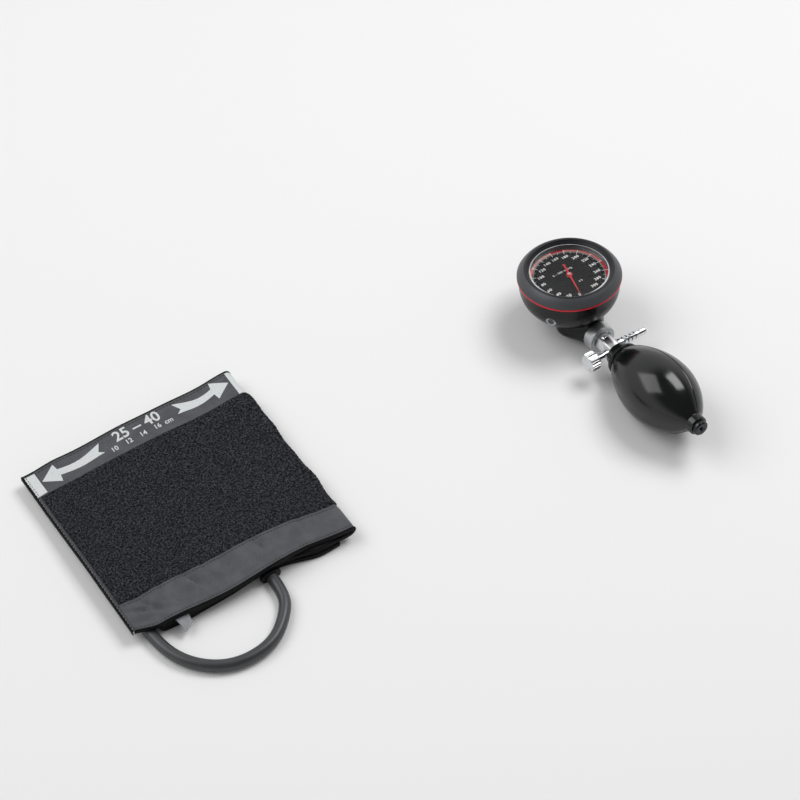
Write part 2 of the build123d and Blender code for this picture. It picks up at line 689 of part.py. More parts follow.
# Port plug: the small dished screw that closes the drilled port
with BuildPart() as port_plug:
    with BuildSketch(port_up.offset(valve_face - 0.9)):
        Circle(PORT_R)
    extrude(amount=0.5)
    with BuildSketch(port_up.offset(valve_face - 0.4)):
        RegularPolygon(1.2, 6)
    extrude(amount=-0.35, mode=Mode.SUBTRACT)
port_plug.part.label = "port_plug"

# Outlet valve: a seat pressed into the spigot's mouth, and a disc that lifts off it
# towards the valve body, where its cross ribs keep the gas way open
OUTLET_SEAT_T = 1.8
outlet_seat_s = SPIGOT_END - OUTLET_SEAT_T
with BuildPart() as outlet_seat:
    with BuildSketch(section.offset(outlet_seat_s)):
        Circle(OUTLET_R)
        Circle(GAS_WAY_R, mode=Mode.SUBTRACT)
    extrude(amount=OUTLET_SEAT_T)
outlet_seat.part.label = "outlet_seat"

with BuildPart() as outlet_disc:
    with BuildSketch(section.offset(outlet_seat_s - 0.05)):
        Circle(2.8)
    extrude(amount=-0.8)
    with BuildSketch(section.offset(outlet_seat_s - 0.85)):
        Rectangle(5.0, 0.8)
        Rectangle(0.8, 5.0)
    extrude(amount=-0.4)
outlet_disc.part.label = "outlet_disc"

# Hose barb: a shouldered root, four sharp rings and a long smooth nose
with BuildPart() as hose_barb:
    with BuildSketch(section.offset(BARB_S)):
        with BuildLine():
            Polyline((3.4, 0), (3.4, 2.2), (5.6, 2.2), (5.6, 3.4), (8.6, 3.4), (8.6, 2.1), (10.0, 2.1),
                     (10.4, 3.3), (13.4, 2.3), (13.4, 3.1), (16.6, 2.3), (16.6, 3.05), (19.8, 2.3),
                     (19.8, 3.0), (23.2, 2.5), (24.0, BARB_NOSE_R), (28.0, BARB_NOSE_R))
            ThreePointArc((28.0, BARB_NOSE_R), (29.1, 2.2), (BARB_END_X, 1.3))
            Polyline((BARB_END_X, 1.3), (BARB_END_X, 0), (3.4, 0))
        make_face()
    revolve(axis=cross_axis(BARB_S))
    with BuildSketch(barb_mouth.offset(3.4)):
        Circle(BARB_BORE_R)
    extrude(amount=BARB_END_X, mode=Mode.SUBTRACT)
hose_barb.part.label = "hose_barb"

# Release valve: a needle on a plain stem that screws in and out, and its knurled knob
NEEDLE_TIP = 1.9
STEM_END = 21.6
with BuildPart() as needle_stem:
    with BuildSketch(section.offset(KNOB_S)):
        with BuildLine():
            Polyline((-NEEDLE_TIP, 0), (-3.3, 0.75), (-3.3, STEM_R), (-STEM_END, STEM_R), (-STEM_END, 0),
                     close=True)
        make_face()
    revolve(axis=cross_axis(KNOB_S))
needle_stem.part.label = "needle_stem"

# Needle gland: the chromed nut that the stem slides through
with BuildPart() as needle_gland:
    with BuildSketch(needle_mouth.offset(GLAND_X)):
        Circle(GLAND_R)
        Circle(STEM_R + PIVOT_GAP, mode=Mode.SUBTRACT)
    extrude(amount=GLAND_END_X - GLAND_X)
    chamfer(needle_gland.edges().filter_by(GeomType.CIRCLE).sort_by(Axis.X)[:2], 0.3)
needle_gland.part.label = "needle_gland"

KNOB_X = 14.6
KNOB_L = 8.0
with BuildPart() as release_knob:
    knob_face = needle_mouth.offset(KNOB_X)
    with BuildSketch(knob_face):
        Circle(KNOB_R)
    extrude(amount=KNOB_L)
    chamfer(release_knob.edges().filter_by(GeomType.CIRCLE), 0.7)
    # knurl: fine grooves along the rim
    with BuildSketch(knob_face.offset(1.0)):
        with PolarLocations(KNOB_R + 0.1, 24):
            Circle(0.42)
    extrude(amount=KNOB_L - 2.0, mode=Mode.SUBTRACT)
    with BuildSketch(knob_face):
        Circle(STEM_R + 0.05)
    extrude(amount=STEM_END - KNOB_X + 0.05, mode=Mode.SUBTRACT)
release_knob.part.label = "release_knob"


# Bulb: a hollow rubber egg, its neck stretched over the valve's spigot
def tangent_arc_radius(wide_s, wide_r, end_s, end_r):
    """Radius of the arc that is level at its widest point and passes through an end."""
    run, drop = end_s - wide_s, wide_r - end_r
    return (run**2 + drop**2) / (2 * drop)


def arc_point(wide_s, wide_r, radius, s):
    """A point of that arc at a station along the axis."""
    return (s, wide_r - radius + sqrt(radius**2 - (s - wide_s) ** 2))


front_arc = tangent_arc_radius(BULB_WIDE_S, BULB_R, BULB_FRONT_S, BULB_FRONT_R)
tail_arc = tangent_arc_radius(BULB_WIDE_S, BULB_R, BULB_TAIL_S, BULB_TAIL_R)
inner_wide = BULB_R - BULB_WALL
inner_front_s = 63.5
inner_tail_s = 129.0

with BuildPart() as bulb:
    with BuildSketch(side):
        with BuildLine():
            Polyline((VALVE_END, SPIGOT_R), (VALVE_END, 8.1), (VALVE_END + 0.6, 8.7), (58.2, 9.6),
                     (58.8, 11.2), (60.0, 11.6), (BULB_FRONT_S, BULB_FRONT_R))
            ThreePointArc((BULB_FRONT_S, BULB_FRONT_R), arc_point(BULB_WIDE_S, BULB_R, front_arc, 80),
                          (BULB_WIDE_S, BULB_R))
            ThreePointArc((BULB_WIDE_S, BULB_R), arc_point(BULB_WIDE_S, BULB_R, tail_arc, 118),
                          (BULB_TAIL_S, BULB_TAIL_R))
            Polyline((BULB_TAIL_S, BULB_TAIL_R), (135.4, 6.9), (TAIL_END - 0.6, 6.7), (TAIL_END, 6.1),
                     (TAIL_END, FITTING_R), (inner_tail_s + 1.6, FITTING_R),
                     arc_point(BULB_WIDE_S, inner_wide, tail_arc - BULB_WALL, inner_tail_s))
            ThreePointArc(arc_point(BULB_WIDE_S, inner_wide, tail_arc - BULB_WALL, inner_tail_s),
                          arc_point(BULB_WIDE_S, inner_wide, tail_arc - BULB_WALL, 115),
                          (BULB_WIDE_S, inner_wide))
            ThreePointArc((BULB_WIDE_S, inner_wide),
                          arc_point(BULB_WIDE_S, inner_wide, front_arc - BULB_WALL, 82),
                          arc_point(BULB_WIDE_S, inner_wide, front_arc - BULB_WALL, inner_front_s))
            Polyline(arc_point(BULB_WIDE_S, inner_wide, front_arc - BULB_WALL, inner_front_s),
                     (SPIGOT_END + 1.0, SPIGOT_R), (VALVE_END, SPIGOT_R))
        make_face()
    revolve(axis=neck_axis)
bulb.part.label = "bulb"

# Intake fitting at the bulb's end: a chromed bush with a ball that lifts off its seat
BALL_R = 1.5
SEAT_S = 139.6
with BuildPart() as intake_fitting:
    with BuildSketch(side):
        with BuildLine():
            Polyline((132.6, 2.1), (132.6, 3.2), (133.4, FITTING_R), (TAIL_END, FITTING_R), (TAIL_END, 5.0),
                     (TAIL_END + 0.4, 5.3), (143.2, 5.3), (143.8, 4.7), (143.8, 1.1), (SEAT_S + 0.9, 1.1),
                     (SEAT_S, 2.1), close=True)
        make_face()
    revolve(axis=neck_axis)
intake_fitting.part.label = "intake_fitting"

ball_s = SEAT_S - 0.2
with BuildPart() as intake_ball:
    with BuildSketch(side):
        with BuildLine():
            ThreePointArc((ball_s - BALL_R, 0), (ball_s, BALL_R), (ball_s + BALL_R, 0))
            Line((ball_s + BALL_R, 0), (ball_s - BALL_R, 0))
        make_face()
    revolve(axis=neck_axis)
intake_ball.part.label = "intake_ball"

with BuildPart() as ball_stop:
    with BuildSketch(section.offset(SEAT_S - 3.7)):
        Circle(2.1)
        Circle(1.0, mode=Mode.SUBTRACT)
    extrude(amount=0.9)
ball_stop.part.label = "ball_stop"

# Folded cuff. The strip runs from its hidden end, left along the table, up round the left fold,
# back to the right, up round the right fold and left again as the top layer.
pitch = 2 * FOLD_R
run_low = HOOK_T + STRIP_T / 2
run_mid = run_low + pitch
run_top = run_mid + pitch
x_start = CUFF_LEFT + CUFF_LENGTH - FOLD_END
x_left = CUFF_LEFT + FOLD_LEFT
x_right = CUFF_LEFT + CUFF_LENGTH - FOLD_R - STRIP_T / 2
HEM = 0.5
cuff_back = CUFF_FRONT + CUFF_WIDTH


def strip_line(shift, start=x_start, end=CUFF_LEFT):
    """The strip's folded middle line in side view, moved outwards by shift, drawn in the open sketch."""
    inner, outer = FOLD_R - shift, FOLD_R + shift
    Line((start, run_low + shift), (x_left, run_low + shift))
    ThreePointArc((x_left, run_low + shift), (x_left - inner, run_low + FOLD_R), (x_left, run_mid - shift))
    Line((x_left, run_mid - shift), (x_right, run_mid - shift))
    ThreePointArc((x_right, run_mid - shift), (x_right + outer, run_mid + FOLD_R), (x_right, run_top + shift))
    Line((x_right, run_top + shift), (end, run_top + shift))


# Plane.XZ looks along +Y, so extruding by a negative amount runs towards +Y
cloth_shift = (STRIP_T - CLOTH_T) / 2
with BuildPart() as outer_cloth:
    with BuildSketch(Plane.XZ.offset(-CUFF_FRONT - HEM)):
        with BuildLine():
            strip_line(cloth_shift, end=CUFF_LEFT + HEM)
        trace(line_width=CLOTH_T)
    extrude(amount=-(CUFF_WIDTH - 2 * HEM))
outer_cloth.part.label = "cuff_outer_cloth"

with BuildPart() as lining_cloth:
    with BuildSketch(Plane.XZ.offset(-CUFF_FRONT - HEM)):
        with BuildLine():
            strip_line(-cloth_shift, end=CUFF_LEFT + HEM)
        trace(line_width=CLOTH_T)
    extrude(amount=-(CUFF_WIDTH - 2 * HEM))
lining_cloth.part.label = "cuff_lining"

# Bladder: the flat rubber bag between the cloths, in the lower two layers
BLADDER_START = x_start - 22.0
BLADDER_END = x_left + 76.0
with BuildPart() as bladder:
    with BuildSketch(Plane.XZ.offset(-CUFF_FRONT - (CUFF_WIDTH - BLADDER_WIDTH) / 2)):
        with BuildLine():
            Line((BLADDER_START, run_low), (x_left, run_low))
            ThreePointArc((x_left, run_low), (x_left - FOLD_R, run_low + FOLD_R), (x_left, run_mid))
            Line((x_left, run_mid), (BLADDER_END, run_mid))
        trace(line_width=BLADDER_T)
    extrude(amount=-BLADDER_WIDTH)
bladder.part.label = "bladder"

# Edge binding: a narrow tape folded over the strip's two long edges and its top end
BIND_W = 2.6
BIND_T = 0.3
with BuildPart() as binding:
    for front in (CUFF_FRONT, cuff_back - BIND_W):
        with BuildSketch(Plane.XZ.offset(-front)):
            with BuildLine():
                strip_line(0)
            trace(line_width=STRIP_T + 2 * BIND_T)
        extrude(amount=-BIND_W)
    with BuildSketch(Plane.XZ.offset(-CUFF_FRONT - BIND_W)):
        with Locations((CUFF_LEFT + BIND_W / 2, run_top)):
            Rectangle(BIND_W, STRIP_T + 2 * BIND_T)
    extrude(amount=-(CUFF_WIDTH - 2 * BIND_W))
    with BuildSketch(Plane.XZ.offset(-CUFF_FRONT - HEM)):
        with BuildLine():
            strip_line(0, start=x_start + 1, end=CUFF_LEFT + HEM)
        trace(line_width=STRIP_T)
    extrude(amount=-(CUFF_WIDTH - 2 * HEM), mode=Mode.SUBTRACT)
binding.part.label = "edge_binding"

# Loop panel: the deep pile that covers the middle of the top layer and goes round the right fold
pile_shift = (STRIP_T + PILE_T) / 2
with BuildPart() as loop_panel:
    with BuildSketch(Plane.XZ.offset(-CUFF_FRONT - PILE_FRONT)):
        with BuildLine():
            ThreePointArc((x_right, run_mid - pile_shift), (x_right + FOLD_R + pile_shift, run_mid + FOLD_R),
                          (x_right, run_top + pile_shift))
            Line((x_right, run_top + pile_shift), (CUFF_LEFT + BIND_W + 0.4, run_top + pile_shift))
        trace(line_width=PILE_T)
    extrude(amount=-PILE_WIDTH)
loop_panel.part.label = "loop_panel"

# Hook panel: the stiff fastener strip under the hidden end, which the cuff stands on
HOOK_L = 120.0
with BuildPart() as hook_panel:
    with BuildSketch(Plane.XY):
        with Locations((x_start - HOOK_L / 2 - 4, (CUFF_FRONT + cuff_back) / 2)):
            RectangleRounded(HOOK_L, PILE_WIDTH, 6)
    extrude(amount=HOOK_T)
hook_panel.part.label = "hook_panel"

# Size tab: the woven tag that sticks out of the front edge between two layers
TAB_T = 0.5
TAB_Z = run_mid + STRIP_T / 2 + BIND_T + 0.05
with BuildPart() as size_tab:
    with BuildSketch(Plane.XY.offset(TAB_Z)):
        with BuildLine():
            Polyline((-183.5, CUFF_FRONT + 9), (-183.5, CUFF_FRONT - 2.0), (-180.2, CUFF_FRONT - 9.5),
                     (-172.5, CUFF_FRONT - 4.5), (-172.5, CUFF_FRONT + 9), close=True)
        make_face()
    extrude(amount=TAB_T)
size_tab.part.label = "size_tab"

# Bladder port: the moulded boss on the front edge that the hose comes out of
PORT_L = 2.0
with BuildPart() as bladder_port:
    with BuildSketch(Plane.XZ.offset(-CUFF_FRONT)):
        with Locations((HOSE_ROUTE[0][0], HOSE_Z + 0.2)):
            SlotOverall(15.0, 8.2)
    extrude(amount=PORT_L)
bladder_port.part.label = "bladder_port"

# Hose: a tube along straight runs and tangent arcs, each arc as large as its runs allow
route = [Vector(x, y, HOSE_Z) for x, y in HOSE_ROUTE]
runs = [b - a for a, b in zip(route, route[1:])]
hose_radii = []
for before, after in zip(runs, runs[1:]):
    half_turn = radians(before.get_angle(after) / 2)
    hose_radii.append(HOSE_EASE * min(before.length, after.length) / tan(half_turn))
with BuildPart() as hose:
    with BuildLine() as hose_path:
        FilletPolyline(*route, radius=hose_radii)
    with BuildSketch(Plane(origin=route[0], z_dir=runs[0])):
        Circle(HOSE_R)
    sweep(path=hose_path.line)
hose.part.label = "hose"
hose_length = sum(edge.length for edge in hose_path.edges())
print("hose radii", [round(r, 1) for r in hose_radii])
hose_volume = pi * HOSE_R**2 * hose_length
print("hose length", round(hose_length, 1), "volume ratio", round(hose.part.volume / hose_volume, 4))

# Hose connector: a grip with fine grooves and a slim locking nose, tucked under the top layer
hose_out = runs[-1].normalized()
connector_plane = Plane(origin=route[-1], x_dir=(0, 0, 1), z_dir=hose_out)
connector_axis = Axis(route[-1], hose_out)
connector_side = Plane(origin=route[-1], x_dir=hose_out, z_dir=hose_out.cross(Vector(0, 0, 1)))
with BuildPart() as hose_connector:
    with BuildSketch(connector_side):
        with BuildLine():
            Polyline((0, 1.3), (0, 3.4), (0.8, 3.8), (8.2, 3.8), (9.0, 3.2), (9.0, 2.35), (19.0, 1.95),
                     (19.0, 1.3), close=True)
        make_face()
    revolve(axis=connector_axis)
    with BuildSketch(connector_plane.offset(1.4)):
        with PolarLocations(4.0, 16):
            Circle(0.45)
    extrude(amount=6.2, mode=Mode.SUBTRACT)
hose_connector.part.label = "hose_connector"

pieces = [
    housing, housing_screws, accent_ring, bezel, lens, lens_gasket, dial_ring, dial_plate,
    pointer, pointer_arbor, base_plate, base_screws, top_plate, pillars, plate_screws, sector_gear,
    rocking_shaft, shaft_hangers, capsule, capsule_post, hairspring, collar, neck_washer, valve_body,
    port_plug, outlet_seat, outlet_disc, hose_barb, needle_stem, needle_gland, release_knob,
    bulb, intake_fitting, intake_ball, ball_stop,
    outer_cloth, lining_cloth, bladder, binding, loop_panel, hook_panel, size_tab, bladder_port,
    hose, hose_connector,
]
os.makedirs("parts", exist_ok=True)
for piece in pieces:
    export_step(piece.part, f"parts/{piece.part.label}.step")
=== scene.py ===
import json
import math
import bmesh
import bpy
import numpy as np
from mathutils import Matrix, Vector, noise

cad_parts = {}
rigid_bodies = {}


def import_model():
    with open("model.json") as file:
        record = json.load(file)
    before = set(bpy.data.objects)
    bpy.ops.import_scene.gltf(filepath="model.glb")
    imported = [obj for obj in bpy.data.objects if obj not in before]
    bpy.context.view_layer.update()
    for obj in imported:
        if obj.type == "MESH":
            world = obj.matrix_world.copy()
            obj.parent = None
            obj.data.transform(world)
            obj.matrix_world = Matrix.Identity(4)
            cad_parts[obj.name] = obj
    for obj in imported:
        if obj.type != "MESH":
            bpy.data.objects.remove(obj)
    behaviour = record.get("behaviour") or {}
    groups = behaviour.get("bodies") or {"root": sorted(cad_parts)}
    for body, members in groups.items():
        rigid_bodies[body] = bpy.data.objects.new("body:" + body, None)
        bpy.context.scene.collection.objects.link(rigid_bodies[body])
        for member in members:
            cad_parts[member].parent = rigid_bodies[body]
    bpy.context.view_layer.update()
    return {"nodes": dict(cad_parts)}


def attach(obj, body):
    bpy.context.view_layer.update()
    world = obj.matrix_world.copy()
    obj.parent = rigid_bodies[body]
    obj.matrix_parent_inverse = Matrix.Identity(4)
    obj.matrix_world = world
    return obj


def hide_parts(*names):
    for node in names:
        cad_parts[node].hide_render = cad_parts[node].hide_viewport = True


for leftover in list(bpy.data.objects):
    bpy.data.objects.remove(leftover)
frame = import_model()


# Stage: a plain pale table under plain soft light. The camera looks down from the front left
# through a long lens; one soft box hangs at the right, a broader and dimmer one at the back left.
# Pale walls stand round it, highest at the back, under a darker ceiling, so gloss has contrast.
def linear(hex_colour):
    """A hex colour as linear red, green, blue and full alpha."""
    channels = [int(hex_colour[i:i + 2], 16) / 255 for i in (0, 2, 4)]
    return [c / 12.92 if c < 0.04045 else ((c + 0.055) / 1.055) ** 2.4 for c in channels] + [1.0]


def add(tree, kind, **values):
    """Adds a node. Lower-case values are its settings, capital ones its inputs by name, and i0 to
    i9 its inputs by place. A socket as a value makes a link."""
    node = tree.nodes.new(kind)
    for key, value in values.items():
        if key[0].islower() and not key[1:].isdigit():
            setattr(node, key, value)
    for key, value in values.items():
        if key[0].islower() and not key[1:].isdigit():
            continue
        socket = node.inputs[int(key[1:]) if key[1:].isdigit() else key.replace("_", " ")]
        if isinstance(value, bpy.types.NodeSocket):
            tree.links.new(value, socket)
        else:
            socket.default_value = value
    return node


def material(name, colour, **inputs):
    """A new material, its tree and its Principled shader, whose plain inputs are set."""
    made = bpy.data.materials.new(name)
    made.use_nodes = True
    shader = made.node_tree.nodes["Principled BSDF"]
    shader.inputs["Base Color"].default_value = linear(colour)
    for key, value in inputs.items():
        shader.inputs[key.replace("_", " ")].default_value = value
    return made, made.node_tree, shader


def in_mm(tree):
    """Object coordinates in millimetres, as a socket."""
    place = add(tree, "ShaderNodeTexCoord").outputs["Object"]
    return add(tree, "ShaderNodeVectorMath", operation="SCALE", Vector=place, Scale=1000).outputs[0]


def in_scene(name, data):
    """A new object of the scene that shows a mesh, curve, lamp or camera."""
    made = bpy.data.objects.new(name, data)
    bpy.context.scene.collection.objects.link(made)
    return made


def soft_box(name, azimuth, elevation, distance, width, height, watts):
    """A soft box in a direction from the table's middle, facing it."""
    data = bpy.data.lights.new(name, "AREA")
    data.shape = "RECTANGLE"
    data.size, data.size_y, data.energy = width, height, watts
    a, e = math.radians(azimuth), math.radians(elevation)
    out = Vector((math.cos(a) * math.cos(e), math.sin(a) * math.cos(e), math.sin(e)))
    turned_in = out.to_track_quat("Z", "Y").to_matrix().to_4x4()
    in_scene(name, data).matrix_world = Matrix.Translation(out * distance) @ turned_in


soft_box("right_box", azimuth=5, elevation=58, distance=1.9, width=0.92, height=0.88, watts=18)
soft_box("left_box", azimuth=140, elevation=52, distance=2.2, width=1.75, height=1.5, watts=21.5)

WALLS, CEILING = "EEEEEE", "585858"
WORLD_LIGHT = 0.33
BACK_WALL_RISE = -0.42
world = bpy.data.worlds.new("studio")
world.use_nodes = True
bpy.context.scene.world = world
sky = world.node_tree
sky.nodes.clear()
rays = add(sky, "ShaderNodeLightPath")
seen = add(sky, "ShaderNodeMath", operation="MAXIMUM", i0=rays.outputs["Is Camera Ray"],
           i1=rays.outputs["Is Glossy Ray"]).outputs[0]
seen = add(sky, "ShaderNodeMath", operation="MAXIMUM", i0=seen,
           i1=rays.outputs["Is Transmission Ray"]).outputs[0]
lighting = add(sky, "ShaderNodeBackground", Color=linear("FFFFFF"), Strength=WORLD_LIGHT).outputs[0]
way = add(sky, "ShaderNodeSeparateXYZ", Vector=add(sky, "ShaderNodeTexCoord").outputs["Generated"])
skyward = add(sky, "ShaderNodeMath", operation="MULTIPLY_ADD", i0=way.outputs["Y"], i1=BACK_WALL_RISE,
              i2=way.outputs["Z"]).outputs[0]
wall_end = add(sky, "ShaderNodeMapRange", interpolation_type="SMOOTHSTEP", Value=skyward, From_Min=0.3,
               From_Max=0.75).outputs[0]
wall = add(sky, "ShaderNodeMixRGB", Fac=wall_end, Color1=linear(WALLS),
           Color2=linear(CEILING)).outputs[0]
backdrop = add(sky, "ShaderNodeBackground", Color=wall, Strength=1).outputs[0]
sky_mix = add(sky, "ShaderNodeMixShader", i0=seen, i1=lighting, i2=backdrop).outputs[0]
add(sky, "ShaderNodeOutputWorld", Surface=sky_mix)

table, tree, shader = material("pale table top", "EEEEEE", Roughness=0.9, Specular_IOR_Level=0.1)
grain = add(tree, "ShaderNodeTexNoise", Vector=in_mm(tree), Scale=0.3, Detail=2)
bump = add(tree, "ShaderNodeBump", Strength=0.05, Distance=0.0001, Height=grain.outputs["Fac"])
tree.links.new(bump.outputs[0], shader.inputs["Normal"])
HALF_FLOOR = 6
floor_corners = [(x * HALF_FLOOR, y * HALF_FLOOR, 0) for x, y in ((-1, -1), (1, -1), (1, 1), (-1, 1))]
floor_mesh = bpy.data.meshes.new("floor")
floor_mesh.from_pydata(floor_corners, [], [(0, 1, 2, 3)])
floor_mesh.materials.append(table)
in_scene("floor", floor_mesh)

CAMERA_AT = (-0.55267, -0.79388, 1.26301)
AZIMUTH, ELEVATION, ROLL = -35.35, 51.11, 1.79
FOCAL_LENGTH, SENSOR_WIDTH = 108.66, 36
camera_data = bpy.data.cameras.new("camera")
camera_data.lens, camera_data.sensor_width = FOCAL_LENGTH, SENSOR_WIDTH
camera = in_scene("camera", camera_data)
turned = (Matrix.Rotation(math.radians(AZIMUTH), 4, "Z")
          @ Matrix.Rotation(math.radians(90 - ELEVATION), 4, "X")
          @ Matrix.Rotation(math.radians(ROLL), 4, "Z"))
camera.matrix_world = Matrix.Translation(CAMERA_AT) @ turned
bpy.context.scene.camera = camera
bpy.context.scene.view_settings.view_transform = "Standard"


# Hose: a soft moulded rubber tube that leaves the cuff's front edge in one loop and comes back
# under its top layer. Its skin is satin, with a cloudy bloom and a fine grain. The route is the
# curve's control line in metres of the frame; the curve cuts its corners, so it is a bit shorter.
HOSE_ROUTE = (
    (-0.1134, -0.04115), (-0.1134, -0.0536), (-0.1188, -0.0665), (-0.1372, -0.0829), (-0.1622, -0.0852),
    (-0.1815, -0.0763), (-0.1954, -0.0583), (-0.1997, -0.0334), (-0.1987, -0.0140))
HOSE_D = 0.008
HOSE_Z = 0.0041


def mottled(name, colour, tones, scale, detail, relief=None, gloss=None, **inputs):
    """A finish in two near tones, in patches of noise with a scale per millimetre. A relief is the
    scale, detail, strength and height, in metres, of a second noise that roughens the skin. A gloss
    is a range of the patches and the roughness at its two ends."""
    made, tree, shader = material(name, colour, **inputs)
    patches = add(tree, "ShaderNodeTexNoise", Vector=in_mm(tree), Scale=scale,
                  Detail=detail).outputs["Fac"]
    tone = add(tree, "ShaderNodeMixRGB", Fac=patches, Color1=linear(tones[0]), Color2=linear(tones[1]))
    tree.links.new(tone.outputs[0], shader.inputs["Base Color"])
    if gloss:
        low, high, smooth, dull = gloss
        shine = add(tree, "ShaderNodeMapRange", Value=patches, From_Min=low, From_Max=high,
                    To_Min=smooth, To_Max=dull)
        tree.links.new(shine.outputs[0], shader.inputs["Roughness"])
    if relief:
        scale, detail, strength, height = relief
        skin = add(tree, "ShaderNodeTexNoise", Vector=in_mm(tree), Scale=scale, Detail=detail)
        bump = add(tree, "ShaderNodeBump", Strength=strength, Distance=height,
                   Height=skin.outputs["Fac"])
        tree.links.new(bump.outputs[0], shader.inputs["Normal"])
    return made


hose_rubber = mottled("moulded hose rubber", "36383B", ("2A2C2E", "3C3E42"), scale=0.12, detail=4,
                      relief=(2.5, 3, 0.25, 0.00005), Roughness=0.4, Specular_IOR_Level=0.6)
hose_curve = bpy.data.curves.new("cuff_hose", "CURVE")
hose_curve.dimensions = "3D"
hose_curve.bevel_depth = HOSE_D / 2
hose_curve.bevel_resolution = 7
hose_curve.resolution_u = 20
hose_curve.use_fill_caps = True
spline = hose_curve.splines.new("NURBS")
spline.points.add(len(HOSE_ROUTE) - 1)
for point, (x, y) in zip(spline.points, HOSE_ROUTE):
    point.co = (x, y, HOSE_Z, 1)
spline.order_u = 3
spline.use_endpoint_u = True
hose_curve.materials.append(hose_rubber)
cuff_hose = in_scene("cuff_hose", hose_curve)
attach(cuff_hose, "cuff")
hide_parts("hose")


# Hose connector: a moulded plastic luer lock with a ribbed grip, pushed into the hose's end.
# It lies hidden under the cuff's top layer, so the grip and the slim nose are turned plainly.
def new_piece(name, points, faces, finish, uvs=None, sharp=40):
    """A mesh piece from points in millimetres of the frame, smooth but for edges over an angle."""
    mesh = bpy.data.meshes.new(name)
    in_metres = np.asarray(points, float) / 1000
    mesh.from_pydata([tuple(p) for p in in_metres], [], [tuple(f) for f in faces])
    if uvs is not None:
        layer = mesh.uv_layers.new(name="cloth")
        corner = np.zeros(len(mesh.loops), int)
        mesh.loops.foreach_get("vertex_index", corner)
        layer.data.foreach_set("uv", np.asarray(uvs, float)[corner].ravel())
    mesh.materials.append(finish)
    mesh.polygons.foreach_set("use_smooth", [True] * len(mesh.polygons))
    mesh.set_sharp_from_angle(angle=math.radians(sharp))
    return in_scene(name, mesh)


def outward(piece):
    """Turns a closed piece's faces outwards."""
    solid = bmesh.new()
    solid.from_mesh(piece.data)
    bmesh.ops.recalc_face_normals(solid, faces=solid.faces)
    solid.to_mesh(piece.data)
    solid.free()
    return piece


def rounded(corners, steps=4):
    """An outline from (x, y) or (x, y, radius) corners; a corner with a radius becomes an arc."""
    outline = []
    for i, corner in enumerate(corners):
        here = np.array(corner[:2], float)
        if len(corner) < 3 or i in (0, len(corners) - 1):
            outline.append(here)
            continue
        before = np.array(corners[i - 1][:2]) - here
        after = np.array(corners[i + 1][:2]) - here
        before, after = before / np.linalg.norm(before), after / np.linalg.norm(after)
        half = math.acos(max(-1, min(1, float(before @ after)))) / 2
        reach = corner[2] / math.tan(half)
        start, end = here + before * reach, here + after * reach
        for k in range(steps + 1):
            t = k / steps
            outline.append((1 - t) ** 2 * start + 2 * t * (1 - t) * here + t * t * end)
    return outline


def arc(centre, radius, first, last, steps):
    """Points of an arc about a centre, from one direction to another in degrees."""
    angles = np.radians(np.linspace(first, last, steps + 1))
    return [(centre[0] + radius * math.cos(a), centre[1] + radius * math.sin(a)) for a in angles]


def lathe(name, outline, place, finish, segments=96, closed=False, turn=None, extra=()):
    """Turns an outline of (radius, height) in mm about the z axis of a placing matrix.
    A closed outline makes a ring; turn gives a point's radius from its radius, height and angle;
    extra angles are added to the even ones where the surface has something fine."""
    bearings = sorted([2 * math.pi * k / segments for k in range(segments)] + list(extra))
    segments = len(bearings)
    points, rings = [], []
    for radius, height in outline:
        count = 1 if radius < 1e-6 else segments
        rings.append(list(range(len(points), len(points) + count)))
        for a in bearings[:count]:
            r = radius if turn is None or count == 1 else turn(radius, height, a)
            points.append(place @ Vector((r * math.cos(a), r * math.sin(a), height)))
    faces = []
    pairs = list(zip(rings, rings[1:])) + ([(rings[-1], rings[0])] if closed else [])
    for low, high in pairs:
        if len(low) == len(high) == 1:
            continue
        for k in range(segments):
            n = (k + 1) % segments
            if len(low) == 1:
                faces.append((low[0], high[n], high[k]))
            elif len(high) == 1:
                faces.append((low[k], low[n], high[0]))
            else:
                faces.append((low[k], low[n], high[n], high[k]))
    return outward(new_piece(name, points, faces, finish))


connector_plastic = mottled("grey nylon connector", "8C8F92", ("7D8083", "999C9F"), scale=0.8,
                            detail=3, Roughness=0.4)
hose_end, hose_before = Vector((*HOSE_ROUTE[-1], HOSE_Z)), Vector((*HOSE_ROUTE[-2], HOSE_Z))
along_hose = (hose_end - hose_before).normalized()
connector_place = (Matrix.Translation(hose_end * 1000)
                   @ along_hose.to_track_quat("Z", "X").to_matrix().to_4x4())
connector_outline = rounded([
    (0, 0.15), (3.3, 0.15, 0.3), (3.8, 1.0, 0.3), (3.8, 8.0, 0.4), (3.0, 9.0, 0.2), (2.3, 9.0, 0.2),
    (1.95, 18.9, 0.15), (1.3, 18.9, 0.1), (1.3, 10.0), (0, 10.0)])
FLUTES, FLUTE_DEPTH, GRIP_FROM, GRIP_TO, GRIP_R = 16, 0.35, 1.2, 7.8, 3.5


def ribbed_grip(radius, height, angle):
    """Flutes along the connector's grip."""
    on_grip = GRIP_FROM < height < GRIP_TO and radius > GRIP_R
    return radius - (FLUTE_DEPTH * max(0.0, math.cos(FLUTES * angle)) if on_grip else 0)


connector = lathe("luer_connector", connector_outline, connector_place, connector_plastic, 160,
                  turn=ribbed_grip)
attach(connector, "cuff")
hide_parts("hose_connector")


